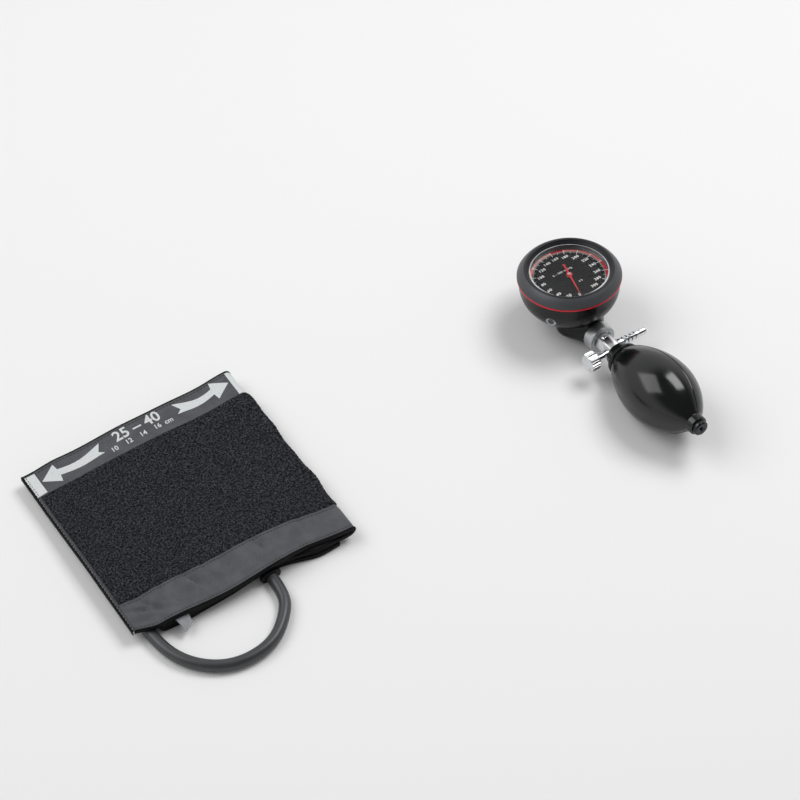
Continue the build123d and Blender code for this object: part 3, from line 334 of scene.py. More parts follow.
# Cuff: one long strip of coated nylon, folded in three: under, back and over. The lower two
# layers hold the flat bladder. The strip is cut, hemmed and folded by hand, so no edge is straight.
# Its places are in millimetres of the frame, and half is half of its thickness.
STRIP = {"left": -209.7, "front": -39.15, "width": 150.6, "start": -62.7, "fold_left": -188.2,
         "fold_right": -54.3, "low": 2.3, "fold_radius": 2.1}
half = 1.5
LOW_RUN = STRIP["start"] - STRIP["fold_left"]
MID_RUN = STRIP["fold_right"] - STRIP["fold_left"]
TOP_RUN = STRIP["fold_right"] - STRIP["left"]
BEND = math.pi * STRIP["fold_radius"]
AT_LEFT, AT_MID = LOW_RUN, LOW_RUN + BEND
AT_RIGHT, AT_TOP = AT_MID + MID_RUN, AT_MID + MID_RUN + BEND
STRIP_LENGTH = AT_TOP + TOP_RUN


def swell(x, centre, reach):
    """A soft hill of height one about a centre."""
    return np.exp(-((x - centre) / reach) ** 2)


def ease(x, start, end):
    """A smooth step from nought at start to one at end."""
    t = np.clip((x - start) / (end - start), 0, 1)
    return t * t * (3 - 2 * t)


# The creases at the cuff's front: from x and y to x and y, then width and depth.
CREASES = (
    (-179.0, -13.0, -181.0, -25.0, 1.7, 2.0), (-162.0, -13.0, -156.0, -26.0, 2.0, 2.6),
    (-110.6, -15.0, -109.0, -28.0, 2.2, 2.4), (-195.5, -14.0, -188.0, -26.0, 1.5, 2.0),
    (-202.0, -20.0, -182.0, -30.0, 1.6, 2.0), (-78.0, -14.0, -82.0, -31.0, 2.5, 1.2),
    (-134.0, -14.0, -139.0, -32.0, 2.6, 1.3), (-148.0, -12.0, -146.0, -28.0, 1.8, 1.4))


def top_relief(x, y):
    """How far the top layer stands above its flat place: over the hose's port, in slack waves,
    in creases at the front, and sagging where its end lies past the fold."""
    port = 3.6 * swell(x, -113, 20) * (swell(y, -42, 26) * 0.8 + 0.2 * swell(y, -42, 60))
    waves = 0.6 * np.sin(x / 17 + 0.8 * np.sin(y / 31)) * np.cos(y / 38 + 0.4)
    waves = waves + 0.3 * np.sin(x / 7.5 + y / 23) * np.sin(y / 13 + 2)
    creases = 0.0
    for x0, y0, x1, y1, reach, depth in CREASES:
        run = np.hypot(x1 - x0, y1 - y0)
        ahead = ((x - x0) * (x1 - x0) + (y - y0) * (y1 - y0)) / run
        aside = ((x - x0) * (y1 - y0) - (y - y0) * (x1 - x0)) / run
        length = swell(ahead, run / 2, run * 0.5)
        valley = swell(aside, 0, reach)
        ridge = swell(aside, 1.8 * reach, 1.6 * reach)
        creases = creases + depth * length * (0.6 * ridge - valley)
    past = ease(-x, 184, 208)
    sag = past * (0.9 + 1.6 * ease(y, 10, 100))
    corner = 0.7 * np.sin((x + y) / 6.5) * swell(x, -196, 15) * swell(y, 84, 26)
    corner = corner + 1.6 * swell(x, -58, 16) * swell(y, 111, 20)
    return port + waves + creases + corner - sag


def front_edge(x, share):
    """How far the front edge strays towards +Y: the top layer's bows out, the lower ones' wander."""
    top = (-2.4 * swell(x, -143, 26) - 1.2 * swell(x, -112, 18) - 3.6 * ease(x, -90, -52)
           + 5.2 * ease(-x, 192, 210) + 1.0)
    low = (3.6 * ease(-x, 150, 200) + 5.4 * swell(x, -122, 22) - 2.2 * swell(x, -78, 15)
           - 2.6 * swell(x, -54, 10) + 1.2 * np.sin(x / 9))
    return share * top + (1 - share) * low


def on_strip(along, across, out):
    """Places points of the strip: along it from its hidden end, across it from its front edge, and
    out from its middle line to the coated side; millimetres in, millimetres of the frame out."""
    along, across, out = np.broadcast_arrays(*(np.asarray(v, float) for v in (along, across, out)))
    radius, low = STRIP["fold_radius"], STRIP["low"]
    mid, top = low + 2 * radius, low + 4 * radius
    left_turn = np.clip((along - AT_LEFT) / radius, 0, math.pi)
    right_turn = np.clip((along - AT_RIGHT) / radius, 0, math.pi)
    lower = along < AT_MID
    x = np.where(
        lower,
        np.where(along < AT_LEFT, STRIP["start"] - along,
                 STRIP["fold_left"] - (radius - out) * np.sin(left_turn)),
        np.where(along < AT_RIGHT, STRIP["fold_left"] + along - AT_MID,
                 np.where(along < AT_TOP, STRIP["fold_right"] + (radius + out) * np.sin(right_turn),
                          STRIP["fold_right"] - (along - AT_TOP))))
    z = np.where(
        lower, low + radius - (radius - out) * np.cos(left_turn),
        np.where(along < AT_TOP, mid + radius - (radius + out) * np.cos(right_turn), top + out))
    y = STRIP["front"] + across
    share = 0.3 * left_turn / math.pi + 0.7 * right_turn / math.pi
    edge = front_edge(x, share) * np.clip(1 - across / 70, 0, 1) ** 2
    lumps = 0.7 * np.sin(y / 9 + np.sin(y / 21)) + 0.4 * np.sin(y / 4.1)
    x = x + lumps * np.sin(right_turn) * 0.9
    back = (0.5 * np.sin(x / 23) + 1.6 * share * swell(x, -56, 22)) * np.clip(across / 150, 0, 1) ** 2
    y = y + edge + back
    lift = np.where(share > 0.3, share, share * 0.9) * top_relief(x, y)
    return np.stack([x, y, z + lift], axis=-1)


def stations(first, last, step=1.6, fold_steps=14):
    """Places along the strip from first to last, closer together round the folds."""
    marks = [first, last]
    for start, end in ((0, AT_LEFT), (AT_MID, AT_RIGHT), (AT_TOP, STRIP_LENGTH)):
        marks += list(np.linspace(start, end, max(2, int((end - start) / step))))
    for start in (AT_LEFT, AT_RIGHT):
        marks += list(np.linspace(start, start + BEND, fold_steps))
    marks = sorted(m for m in set(np.round(marks, 4)) if first <= m <= last)
    return np.array(marks)


def cells_of(grid):
    """The numbers of a grid's points, in its rows and columns, and the corners of its cells."""
    index = np.arange(grid.size).reshape(grid.shape)
    cells = np.stack([index[:-1, :-1], index[1:, :-1], index[1:, 1:], index[:-1, 1:]], -1)
    return index, cells.reshape(-1, 4)


def between(name, top, bottom, uvs, finish):
    """A closed sheet between the grids of its two faces, with a wall round its rim."""
    index, cells = cells_of(top[..., 0])
    rim = np.concatenate([index[0, :], index[1:, -1], index[-1, -2::-1], index[-2:0:-1, 0]])
    ahead = np.roll(rim, -1)
    wall = np.stack([rim, ahead, ahead + index.size, rim + index.size], -1)
    faces = np.concatenate([cells, cells[:, ::-1] + index.size, wall])
    points = np.concatenate([top.reshape(-1, 3), bottom.reshape(-1, 3)])
    uvs = np.concatenate([uvs.reshape(-1, 2)] * 2)
    return outward(new_piece(name, points, faces.tolist(), finish, uvs, sharp=50))


def slab(name, alongs, acrosses, inner, outer, finish, rough=None, shape=None):
    """A sheet of the strip as a closed solid between two distances from its middle line.
    rough adds to the outer distance at each place along and across; shape gives the places across."""
    a, b = np.meshgrid(alongs, acrosses, indexing="ij")
    if shape is not None:
        b = shape(a, b)
    top = on_strip(a, b, outer + (0 if rough is None else rough(a, b)))
    bottom = on_strip(a, b, np.full_like(a, inner))
    return between(name, top, bottom, np.stack([a, b], -1), finish)


def weave(name, dark, light, pitch, sheen, gloss=0.5):
    """A plain-woven cloth: two sets of threads a pitch apart, in millimetres, over and under each
    other, in two near tones that drift in clouds and slubs."""
    made, tree, shader = material(name, dark, Roughness=0.62, Sheen_Weight=sheen, Sheen_Roughness=0.4,
                                  Specular_IOR_Level=gloss)
    place = add(tree, "ShaderNodeUVMap", uv_map="cloth").outputs[0]
    axes = add(tree, "ShaderNodeSeparateXYZ", Vector=place)
    turns = math.pi / pitch
    waves = []
    for axis in ("X", "Y"):
        angle = add(tree, "ShaderNodeMath", operation="MULTIPLY", i0=axes.outputs[axis],
                    i1=turns).outputs[0]
        waves.append(add(tree, "ShaderNodeMath", operation="SINE", i0=angle).outputs[0])
    crossing = add(tree, "ShaderNodeMath", operation="MULTIPLY", i0=waves[0], i1=waves[1]).outputs[0]
    height = add(tree, "ShaderNodeMath", operation="ABSOLUTE", i0=crossing).outputs[0]
    cloud = add(tree, "ShaderNodeTexNoise", Vector=place, Scale=0.09, Detail=5, Roughness=0.6)
    slub = add(tree, "ShaderNodeTexNoise", Vector=place, Scale=1.1, Detail=2)
    mixed = add(tree, "ShaderNodeMath", operation="MULTIPLY_ADD", i0=height, i1=0.35,
                i2=cloud.outputs["Fac"])
    mixed = add(tree, "ShaderNodeMath", operation="MULTIPLY_ADD", i0=slub.outputs["Fac"], i1=0.5,
                i2=mixed.outputs[0])
    factor = add(tree, "ShaderNodeMapRange", Value=mixed.outputs[0], From_Min=0.74, From_Max=1.1)
    tone = add(tree, "ShaderNodeMixRGB", Fac=factor.outputs[0], Color1=linear(dark),
               Color2=linear(light))
    tree.links.new(tone.outputs[0], shader.inputs["Base Color"])
    bump = add(tree, "ShaderNodeBump", Strength=0.5, Distance=0.00012, Height=height)
    soft = add(tree, "ShaderNodeBump", Strength=0.35, Distance=0.0006, Height=cloud.outputs["Fac"],
               Normal=bump.outputs[0])
    tree.links.new(soft.outputs[0], shader.inputs["Normal"])
    return made


coated_nylon = weave("coated black nylon", "3B3C40", "505156", 0.42, 0.25)
lining_nylon = weave("black lining nylon", "232427", "303135", 0.5, 0.1)
HEM = 0.5
SEAM_INSET, SEAM_DEPTH, SEAM_REACH = 2.6, 0.38, 0.8
PILE_FRONT, PILE_WIDTH, PILE_DEPTH = 26.0, 103.0, 1.05
PILE_BACK = PILE_FRONT + PILE_WIDTH
FRONT_SEAM_GAP, BACK_SEAM_INSET = 1.7, 1.2
PILE_FIRST, PILE_LAST = AT_RIGHT + 0.5, STRIP_LENGTH - 3.2


def pile_front(a):
    """Where the panel's front edge runs across the strip: it was sewn on a little askew."""
    x = STRIP["fold_right"] - (a - AT_TOP)
    return PILE_FRONT + 1.2 * swell(x, -150, 40) - 4.8 * ease(x, -112, -54)


def seam_grooves(a, b):
    """The seams draw the cloth down: along both hems and in front of the loop panel."""
    hems = swell(b, SEAM_INSET, SEAM_REACH) + swell(b, STRIP["width"] - SEAM_INSET, SEAM_REACH)
    sewn = (a > PILE_FIRST) * swell(b, pile_front(a) - FRONT_SEAM_GAP, SEAM_REACH)
    return -SEAM_DEPTH * (hems + sewn)


cloth_alongs = stations(0, STRIP_LENGTH - HEM)
cloth_acrosses = np.unique(np.concatenate([
    np.linspace(HEM, 5, 8), np.linspace(5, 18, 9), np.linspace(18, 28, 18),
    np.linspace(28, STRIP["width"] - 5, 76), np.linspace(STRIP["width"] - 5, STRIP["width"] - HEM, 8)]))
outer_cloth = slab("outer_cloth", cloth_alongs, cloth_acrosses, half / 2, half, coated_nylon,
                   seam_grooves)
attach(outer_cloth, "cuff")
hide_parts("cuff_outer_cloth")
lining_alongs = stations(0, STRIP_LENGTH - HEM, step=3)
lining_acrosses = np.linspace(HEM, STRIP["width"] - HEM, 60)
lining = slab("lining_cloth", lining_alongs, lining_acrosses, -half, -half / 2, lining_nylon)
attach(lining, "cuff")
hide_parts("cuff_lining")


# Bladder: the flat bag that lies between the cloths of the lower two layers, welded from dull
# grey rubber sheet. It is dusted with talc, so its tone is cloudy.
bladder_rubber = mottled("grey bladder rubber", "55565A", ("48494D", "66676B"), scale=0.15, detail=4,
                         Roughness=0.6)
BLADDER_WIDTH, BLADDER_HALF = 120, 0.6
BLADDER_FIRST, BLADDER_LAST = 22, AT_MID + 76
bladder_side = (STRIP["width"] - BLADDER_WIDTH) / 2
bladder_alongs = stations(BLADDER_FIRST, BLADDER_LAST, step=4)
bladder_acrosses = np.linspace(bladder_side, STRIP["width"] - bladder_side, 40)
bladder_bag = slab("bladder_bag", bladder_alongs, bladder_acrosses, -BLADDER_HALF, BLADDER_HALF,
                   bladder_rubber)
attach(bladder_bag, "cuff")
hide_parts("bladder")


# Loop panel: the deep black pile that the hook tape grips. It is knitted with loose loops that
# mat together in small tufts, so its skin is lumpy and its edge fuzzy. Sewn on round its rim.
# The loops are too fine to show, so the tufts and the specks are drawn about a millimetre wide.
# The specks are painted sheen on the tufts' tops, with painted shade in the gaps between them.
TUFTS = ((0.2, 2.3), (0.42, 0.95), (0.12, 5.5))
RIM_DROP, RIM_REACH = 0.75, 1.6


def pile_rough(a, b):
    """The tufts' height over the panel, from pairs of height and size, thinner at its sewn rim."""
    heights = np.empty(a.shape)
    for i in range(a.shape[0]):
        for k in range(a.shape[1]):
            spot = Vector((a[i, k], b[i, k], 0))
            heights[i, k] = sum(height * noise.noise(spot / size) for height, size in TUFTS)
    rim = np.minimum.reduce([b - pile_front(a), PILE_BACK - b, PILE_LAST - a, a - PILE_FIRST])
    return heights - RIM_DROP * (1 - ease(rim, 0, RIM_REACH))


def on_panel(a, share):
    """A place across the strip from a share of the panel's width."""
    return pile_front(a) + share * (PILE_BACK - pile_front(a))


black_pile, tree, shader = material("matted nylon loops", "141517", Roughness=0.95,
                                    Specular_IOR_Level=0.08)
place = add(tree, "ShaderNodeUVMap", uv_map="cloth").outputs[0]
tufts = add(tree, "ShaderNodeTexNoise", Vector=place, Scale=0.75, Detail=4, Roughness=0.75)
loops = add(tree, "ShaderNodeTexVoronoi", Vector=place, Scale=1.1)
# The tone follows the tufts' height: their tops are painted lighter as painted sheen, and the gaps
# darker as painted shade.
tuft_height_and_painted_shade = add(tree, "ShaderNodeMath", operation="MULTIPLY_ADD", i0=loops.outputs["Distance"], i1=0.35,
              i2=tufts.outputs["Fac"])
factor = add(tree, "ShaderNodeMapRange", Value=tuft_height_and_painted_shade.outputs[0], From_Min=0.58, From_Max=0.86)
tone = add(tree, "ShaderNodeMixRGB", Fac=factor.outputs[0], Color1=linear("0A0B0C"),
           Color2=linear("45464B"))
tree.links.new(tone.outputs[0], shader.inputs["Base Color"])
bump = add(tree, "ShaderNodeBump", Strength=0.9, Distance=0.0005, Height=tuft_height_and_painted_shade.outputs[0])
tree.links.new(bump.outputs[0], shader.inputs["Normal"])

pile_alongs = np.unique(np.concatenate([
    np.linspace(PILE_FIRST, AT_TOP, 14), np.linspace(AT_TOP, PILE_LAST, 252)]))
pile_acrosses = np.linspace(0, 1, 180)
PILE_SUNK = 0.05
loop_pile = slab("loop_pile", pile_alongs, pile_acrosses, half - PILE_SUNK, half + PILE_DEPTH,
                 black_pile, pile_rough, on_panel)
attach(loop_pile, "cuff")
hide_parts("loop_panel")


# Hook tape: the stiff fastener strip sewn under the hidden end, which the folded cuff lies on.
# Its face is a dense field of small moulded hooks, about one to a millimetre.
hook_nylon, tree, shader = material("moulded hook tape", "1D1E20", Roughness=0.55)
hooks = add(tree, "ShaderNodeTexVoronoi", Vector=in_mm(tree), Scale=0.9)
bump = add(tree, "ShaderNodeBump", Strength=0.8, Distance=0.0004, Height=hooks.outputs["Distance"])
tree.links.new(bump.outputs[0], shader.inputs["Normal"])
tone = add(tree, "ShaderNodeMixRGB", Fac=hooks.outputs["Distance"], Color1=linear("2B2C2F"),
           Color2=linear("101113"))
tree.links.new(tone.outputs[0], shader.inputs["Base Color"])


def prism(name, outline, low, high, finish, bevel, place=Matrix.Identity(4)):
    """A plate from an outline of (x, y) between two heights of a placing matrix, edges broken."""
    count = len(outline)
    points = [place @ Vector((x, y, z)) for z in (low, high) for x, y in outline]
    faces = [list(range(count))[::-1], list(range(count, 2 * count))]
    faces += [(k, (k + 1) % count, (k + 1) % count + count, k + count) for k in range(count)]
    piece = outward(new_piece(name, points, faces, finish))
    soften = piece.modifiers.new("edges", "BEVEL")
    soften.width, soften.segments, soften.limit_method = bevel / 1000, 3, "ANGLE"
    return piece


HOOK_LEFT, HOOK_RIGHT, HOOK_FRONT, HOOK_BACK = -186.7, -66.7, -15.35, 87.65
HOOK_CORNER, HOOK_THICK = 6, 0.8
tape_left, tape_right = HOOK_LEFT + HOOK_CORNER, HOOK_RIGHT - HOOK_CORNER
tape_front, tape_back = HOOK_FRONT + HOOK_CORNER, HOOK_BACK - HOOK_CORNER
hook_centres = ((tape_right, tape_front), (tape_right, tape_back), (tape_left, tape_back),
                (tape_left, tape_front))
hook_outline = []
for centre, start in zip(hook_centres, (-90, 0, 90, 180)):
    hook_outline += arc(centre, HOOK_CORNER, start, start + 90, 8)
hook_tape = prism("hook_tape", hook_outline, 0.0, HOOK_THICK, hook_nylon, 0.12)
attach(hook_tape, "cuff")
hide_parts("hook_panel")


# Edge binding: a narrow black tape folded over the strip's long edges, and over the end of the
# top layer, and sewn through all the layers it holds.
def swept(name, grid, uvs, finish):
    """A closed section swept along rows of points, with both ends filled."""
    rows, columns = grid.shape[:2]
    index = np.arange(rows * columns).reshape(rows, columns)
    ahead = np.roll(index, -1, axis=1)
    faces = np.stack([index[:-1], ahead[:-1], ahead[1:], index[1:]], -1).reshape(-1, 4).tolist()
    faces += [index[0].tolist()[::-1], index[-1].tolist()]
    return outward(new_piece(name, grid.reshape(-1, 3), faces, finish, uvs.reshape(-1, 2), sharp=60))


def joined(name, pieces):
    """Several pieces as one."""
    with bpy.context.temp_override(active_object=pieces[0], selected_editable_objects=pieces):
        bpy.ops.object.join()
    pieces[0].name = pieces[0].data.name = name
    return pieces[0]


# The tape is black. Its near-black tone and low gloss are also painted shade, for the shadow in the gap
# under the top layer's edge.
binding_tape_and_painted_shade = weave("black binding tape", "060607", "141517", 0.6, 0.0, 0.1)
BIND_WIDTH, BIND_THICK, BIND_ROUND = 1.0, 0.28, 0.5
bind_top = half + BIND_THICK
bind_section = np.array(
    [(BIND_WIDTH, half), (BIND_WIDTH, bind_top)]
    + arc((BIND_ROUND, bind_top - BIND_ROUND), BIND_ROUND, 90, 180, 4)
    + arc((BIND_ROUND, BIND_ROUND - bind_top), BIND_ROUND, 180, 270, 4)
    + [(BIND_WIDTH, -bind_top), (BIND_WIDTH, -half), (HEM, -half), (HEM, half)])
bind_alongs = stations(0, STRIP_LENGTH - 0.4)
bindings = []
for name, side in (("front_binding", 1), ("back_binding", -1)):
    across = bind_section[:, 0] if side == 1 else STRIP["width"] - bind_section[:, 0]
    a, b = np.meshgrid(bind_alongs, across, indexing="ij")
    grid = on_strip(a, b, np.broadcast_to(bind_section[:, 1], a.shape))
    bindings.append(swept(name, grid, np.stack([a, np.broadcast_to(bind_section.sum(1), a.shape)], -1),
                          binding_tape_and_painted_shade))
END_INSET, END_SWELL = 0.15, 1.04
end_acrosses = np.linspace(END_INSET, STRIP["width"] - END_INSET, 110)
b, a = np.meshgrid(end_acrosses, STRIP_LENGTH - bind_section[:, 0], indexing="ij")
grid = on_strip(a, b, np.broadcast_to(bind_section[:, 1] * END_SWELL, a.shape))
bindings.append(swept("end_binding", grid, np.stack([b, a], -1), binding_tape_and_painted_shade))
edge_tape = joined("edge_tape", bindings)
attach(edge_tape, "cuff")
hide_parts("edge_binding")


# Stitching: twisted polyester thread in short lock stitches. It holds the hems, the rim of the
# loop panel and the end tape. Each run is a line on the cloth with stitches set along it. The
# thread is drawn a little thick, so that the stitches show.
thread, tree, shader = material("black polyester thread", "232427", Roughness=0.6)
twist = add(tree, "ShaderNodeTexWave", Vector=in_mm(tree), Scale=1.6, Distortion=1)
tone = add(tree, "ShaderNodeMixRGB", Fac=twist.outputs["Fac"], Color1=linear("060708"),
           Color2=linear("1E1F21"))
tree.links.new(tone.outputs[0], shader.inputs["Base Color"])


def node_group(name, sockets):
    """A Geometry Nodes tree with a geometry input, number inputs and a geometry output."""
    group = bpy.data.node_groups.new(name, "GeometryNodeTree")
    group.interface.new_socket("Geometry", in_out="INPUT", socket_type="NodeSocketGeometry")
    group.interface.new_socket("Geometry", in_out="OUTPUT", socket_type="NodeSocketGeometry")
    for socket in sockets:
        group.interface.new_socket(socket, in_out="INPUT", socket_type="NodeSocketFloat")
    return group, group.nodes.new("NodeGroupInput")


def grown(name, host, group, **values):
    """The plain mesh that a Geometry Nodes tree makes on a host object; the host goes."""
    modifier = host.modifiers.new(name, "NODES")
    modifier.node_group = group
    for item in group.interface.items_tree:
        if item.in_out == "INPUT" and item.name in values:
            modifier[item.identifier] = float(values[item.name])
    graph = bpy.context.evaluated_depsgraph_get()
    mesh = bpy.data.meshes.new_from_object(host.evaluated_get(graph), depsgraph=graph)
    mesh.name = name
    host.modifiers.remove(modifier)
    bpy.data.objects.remove(host)
    return in_scene(name, mesh)


def made_real(group, instances, finish):
    """The end of a Geometry Nodes tree: its instances as one mesh, with a finish."""
    real = add(group, "GeometryNodeRealizeInstances", Geometry=instances)
    finished = add(group, "GeometryNodeSetMaterial", Geometry=real.outputs[0], Material=finish)
    add(group, "NodeGroupOutput", Geometry=finished.outputs[0])


stitch_tree, given = node_group("stitches", ["Pitch", "Length", "Radius"])
resample = add(stitch_tree, "GeometryNodeCurveToPoints", mode="LENGTH", Curve=given.outputs["Geometry"],
               Length=given.outputs["Pitch"])
stitch = add(stitch_tree, "GeometryNodeMeshUVSphere", Segments=6, Rings=5,
             Radius=given.outputs["Radius"])
ratio = add(stitch_tree, "ShaderNodeMath", operation="DIVIDE", i0=given.outputs["Length"],
            i1=given.outputs["Radius"])
stretch = add(stitch_tree, "ShaderNodeCombineXYZ", X=1.0, Y=1.0, Z=ratio.outputs[0])
smooth = add(stitch_tree, "GeometryNodeSetShadeSmooth", i0=stitch.outputs["Mesh"])
placed = add(stitch_tree, "GeometryNodeInstanceOnPoints", Points=resample.outputs["Points"],
             Instance=smooth.outputs[0], Rotation=resample.outputs["Rotation"],
             Scale=stretch.outputs[0])
made_real(stitch_tree, placed.outputs[0], thread)


STITCH_PITCH, STITCH_SHARE, STITCH_RADIUS = 2.6, 0.38, 0.2


def stitched(name, runs):
    """Stitches along runs of points in millimetres."""
    curve = bpy.data.curves.new(name, "CURVE")
    curve.dimensions = "3D"
    for run in runs:
        line = curve.splines.new("POLY")
        line.points.add(len(run) - 1)
        for point, place in zip(line.points, run):
            point.co = (*(place / 1000), 1)
    piece = grown(name, in_scene(name, curve), stitch_tree, Pitch=STITCH_PITCH / 1000,
                  Length=STITCH_SHARE * STITCH_PITCH / 1000, Radius=STITCH_RADIUS / 1000)
    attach(piece, "cuff")


# How far the thread lies from the strip's middle line in each place.
in_groove = half - SEAM_DEPTH + 0.12
on_cloth = half + 0.08
on_tape = half + BIND_THICK + 0.1
in_pile = half + PILE_DEPTH * 0.45
hem_alongs = stations(AT_RIGHT - 40, STRIP_LENGTH - 2.4, step=2)
seam_runs = [on_strip(hem_alongs, across, in_groove)
             for across in (SEAM_INSET, STRIP["width"] - SEAM_INSET)]
for inset, margin, height in ((2.5, 3, on_cloth), (1.1, 1, on_tape)):
    end_run = np.linspace(margin, STRIP["width"] - margin, 80)
    seam_runs.append(on_strip(STRIP_LENGTH - inset, end_run, height))
rim_alongs = stations(PILE_FIRST + 1, PILE_LAST - 1, step=2)
seam_runs.append(on_strip(rim_alongs, pile_front(rim_alongs) - FRONT_SEAM_GAP, in_groove))
seam_runs.append(on_strip(rim_alongs, PILE_BACK - BACK_SEAM_INSET, in_pile))
stitched("cuff_seams", seam_runs)


# Index marks: screen-printed in white ink on the back band. Two swallow-tailed arrows point at
# the bars to which the cuff's end is wrapped, with the arm's girth in centimetres between them.
white_ink, tree, shader = material("white screen print", "D5D9D9", Roughness=0.6)
place = add(tree, "ShaderNodeUVMap", uv_map="cloth").outputs[0]
wear = add(tree, "ShaderNodeTexNoise", Vector=place, Scale=0.9, Detail=5, Roughness=0.7)
factor = add(tree, "ShaderNodeMapRange", Value=wear.outputs["Fac"], From_Min=0.28, From_Max=0.46)
tone = add(tree, "ShaderNodeMixRGB", Fac=factor.outputs[0], Color1=linear("A0A4A5"),
           Color2=linear("CFD3D3"))
tree.links.new(tone.outputs[0], shader.inputs["Base Color"])


def flat_shape(outline):
    """Points and faces of a filled outline of (x, y)."""
    return [tuple(p) for p in outline], [list(range(len(outline)))]


def flat_text(text, size, centre, turn=0.0, bold=0.018, gap=1.0):
    """Points and faces of a flat line of text of a height, about a centre, turned in degrees."""
    letters = bpy.data.curves.new("letters", "FONT")
    letters.body, letters.size, letters.resolution_u = text, size, 3
    letters.align_x, letters.align_y, letters.space_character = "CENTER", "CENTER", gap
    letters.offset = size * bold
    holder = bpy.data.objects.new("letters", letters)
    mesh = bpy.data.meshes.new_from_object(holder)
    bpy.data.objects.remove(holder)
    a = math.radians(turn)
    points = [(centre[0] + v.co.x * math.cos(a) - v.co.y * math.sin(a),
               centre[1] + v.co.x * math.sin(a) + v.co.y * math.cos(a)) for v in mesh.vertices]
    return points, [list(p.vertices) for p in mesh.polygons]


def cut_up(shapes, pitch):
    """Flat shapes cut into cells of a pitch, so that they can follow a curved surface."""
    sheet = bmesh.new()
    for points, faces in shapes:
        corners = [sheet.verts.new((x, y, 0)) for x, y in points]
        for face in faces:
            sheet.faces.new([corners[i] for i in face])
    bmesh.ops.recalc_face_normals(sheet, faces=sheet.faces)
    xs = [v.co.x for v in sheet.verts]
    ys = [v.co.y for v in sheet.verts]
    for low, high, normal in ((min(xs), max(xs), (1, 0, 0)), (min(ys), max(ys), (0, 1, 0))):
        for place in np.arange(low + pitch, high, pitch):
            bmesh.ops.bisect_plane(sheet, geom=sheet.verts[:] + sheet.edges[:] + sheet.faces[:],
                                   plane_co=Vector(normal) * place, plane_no=normal)
    bmesh.ops.triangulate(sheet, faces=[f for f in sheet.faces if len(f.verts) > 4])
    sheet.verts.index_update()
    points = np.array([v.co[:2] for v in sheet.verts])
    faces = [[v.index for v in f.verts] for f in sheet.faces if f.calc_area() > 1e-6]
    sheet.free()
    return points, faces


def facing(piece, way):
    """Turns an open piece's faces to one side."""
    sheet = bmesh.new()
    sheet.from_mesh(piece.data)
    for face in sheet.faces:
        if face.normal.dot(way) < 0:
            face.normal_flip()
    sheet.to_mesh(piece.data)
    sheet.free()


INK_LIFT = 0.035


def printed(name, shapes, finish):
    """Flat shapes in the frame's x and y, laid on the top layer's outer face."""
    points, faces = cut_up(shapes, 1.5)
    a, b = AT_TOP + STRIP["fold_right"] - points[:, 0], points[:, 1] - STRIP["front"]
    piece = new_piece(name, on_strip(a, b, half + INK_LIFT), faces, finish, np.stack([a, b], -1))
    facing(piece, Vector((0, 0, 1)))
    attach(piece, "cuff")


ARROW_BODY, ARROW_WING, ARROW_HEAD, ARROW_NECK = 4.0, 7.4, 12.5, 0.62


def arrow(tip, tail, sway):
    """A swallow-tailed arrow from tip to tail, its body swaying like a ribbon."""
    tip, tail = np.array(tip, float), np.array(tail, float)
    run = tail - tip
    length = np.linalg.norm(run)
    ahead, side = run / length, np.array([-run[1], run[0]]) / length
    upper = [(ARROW_HEAD - 1, ARROW_WING), (ARROW_HEAD, ARROW_BODY * ARROW_NECK)]
    lower = [(u, -v) for u, v in upper]
    for k in range(1, 9):
        t = k / 8
        here = ARROW_HEAD + (length - ARROW_HEAD) * t
        bend = sway * math.sin(t * math.pi * 1.3)
        width = ARROW_BODY * (ARROW_NECK + 0.5 * t * t)
        upper.append((here, bend + width))
        lower.append((here, bend - width))
    outline = [(0, 0)] + upper + [(length - ARROW_BODY * 0.9, sway * 0.3)] + lower[::-1]
    return flat_shape([tip + ahead * u + side * v for u, v in outline])


LEFT_ARROW_Y, RIGHT_ARROW_Y, ARROW_SWAY = 100.8, 102.0, 1.6
MARKS_X, MARKS_TURN = -127, 1.5
index_marks = [
    arrow((-199.8, LEFT_ARROW_Y), (-154.6, LEFT_ARROW_Y), -ARROW_SWAY),
    arrow((-57.4, RIGHT_ARROW_Y), (-98.6, RIGHT_ARROW_Y), ARROW_SWAY),
    flat_shape([(-208.2, 90.6), (-201.0, 91.2), (-201.0, 109.4), (-208.2, 109.4)]),
    flat_text("25 – 40", 11.5, (MARKS_X, 104.4), MARKS_TURN),
    flat_text("10    12    14    16  cm", 5.2, (MARKS_X, 96.8), MARKS_TURN),
]
printed("index_marks", index_marks, white_ink)
# The second bar is printed round the right fold, so it is laid on the strip itself.
bar_alongs, bar_acrosses = np.linspace(AT_TOP - 4.6, AT_TOP + 1.6, 12), np.linspace(129.5, 148.9, 24)
a, b = np.meshgrid(bar_alongs, bar_acrosses, indexing="ij")
index, cells = cells_of(a)
bar_points = on_strip(a, b, half + INK_LIFT).reshape(-1, 3)
bar_cells = cells[:, [0, 3, 2, 1]].tolist()
fold_bar = new_piece("fold_index_bar", bar_points, bar_cells, white_ink,
                     np.stack([a, b], -1).reshape(-1, 2))
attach(fold_bar, "cuff")


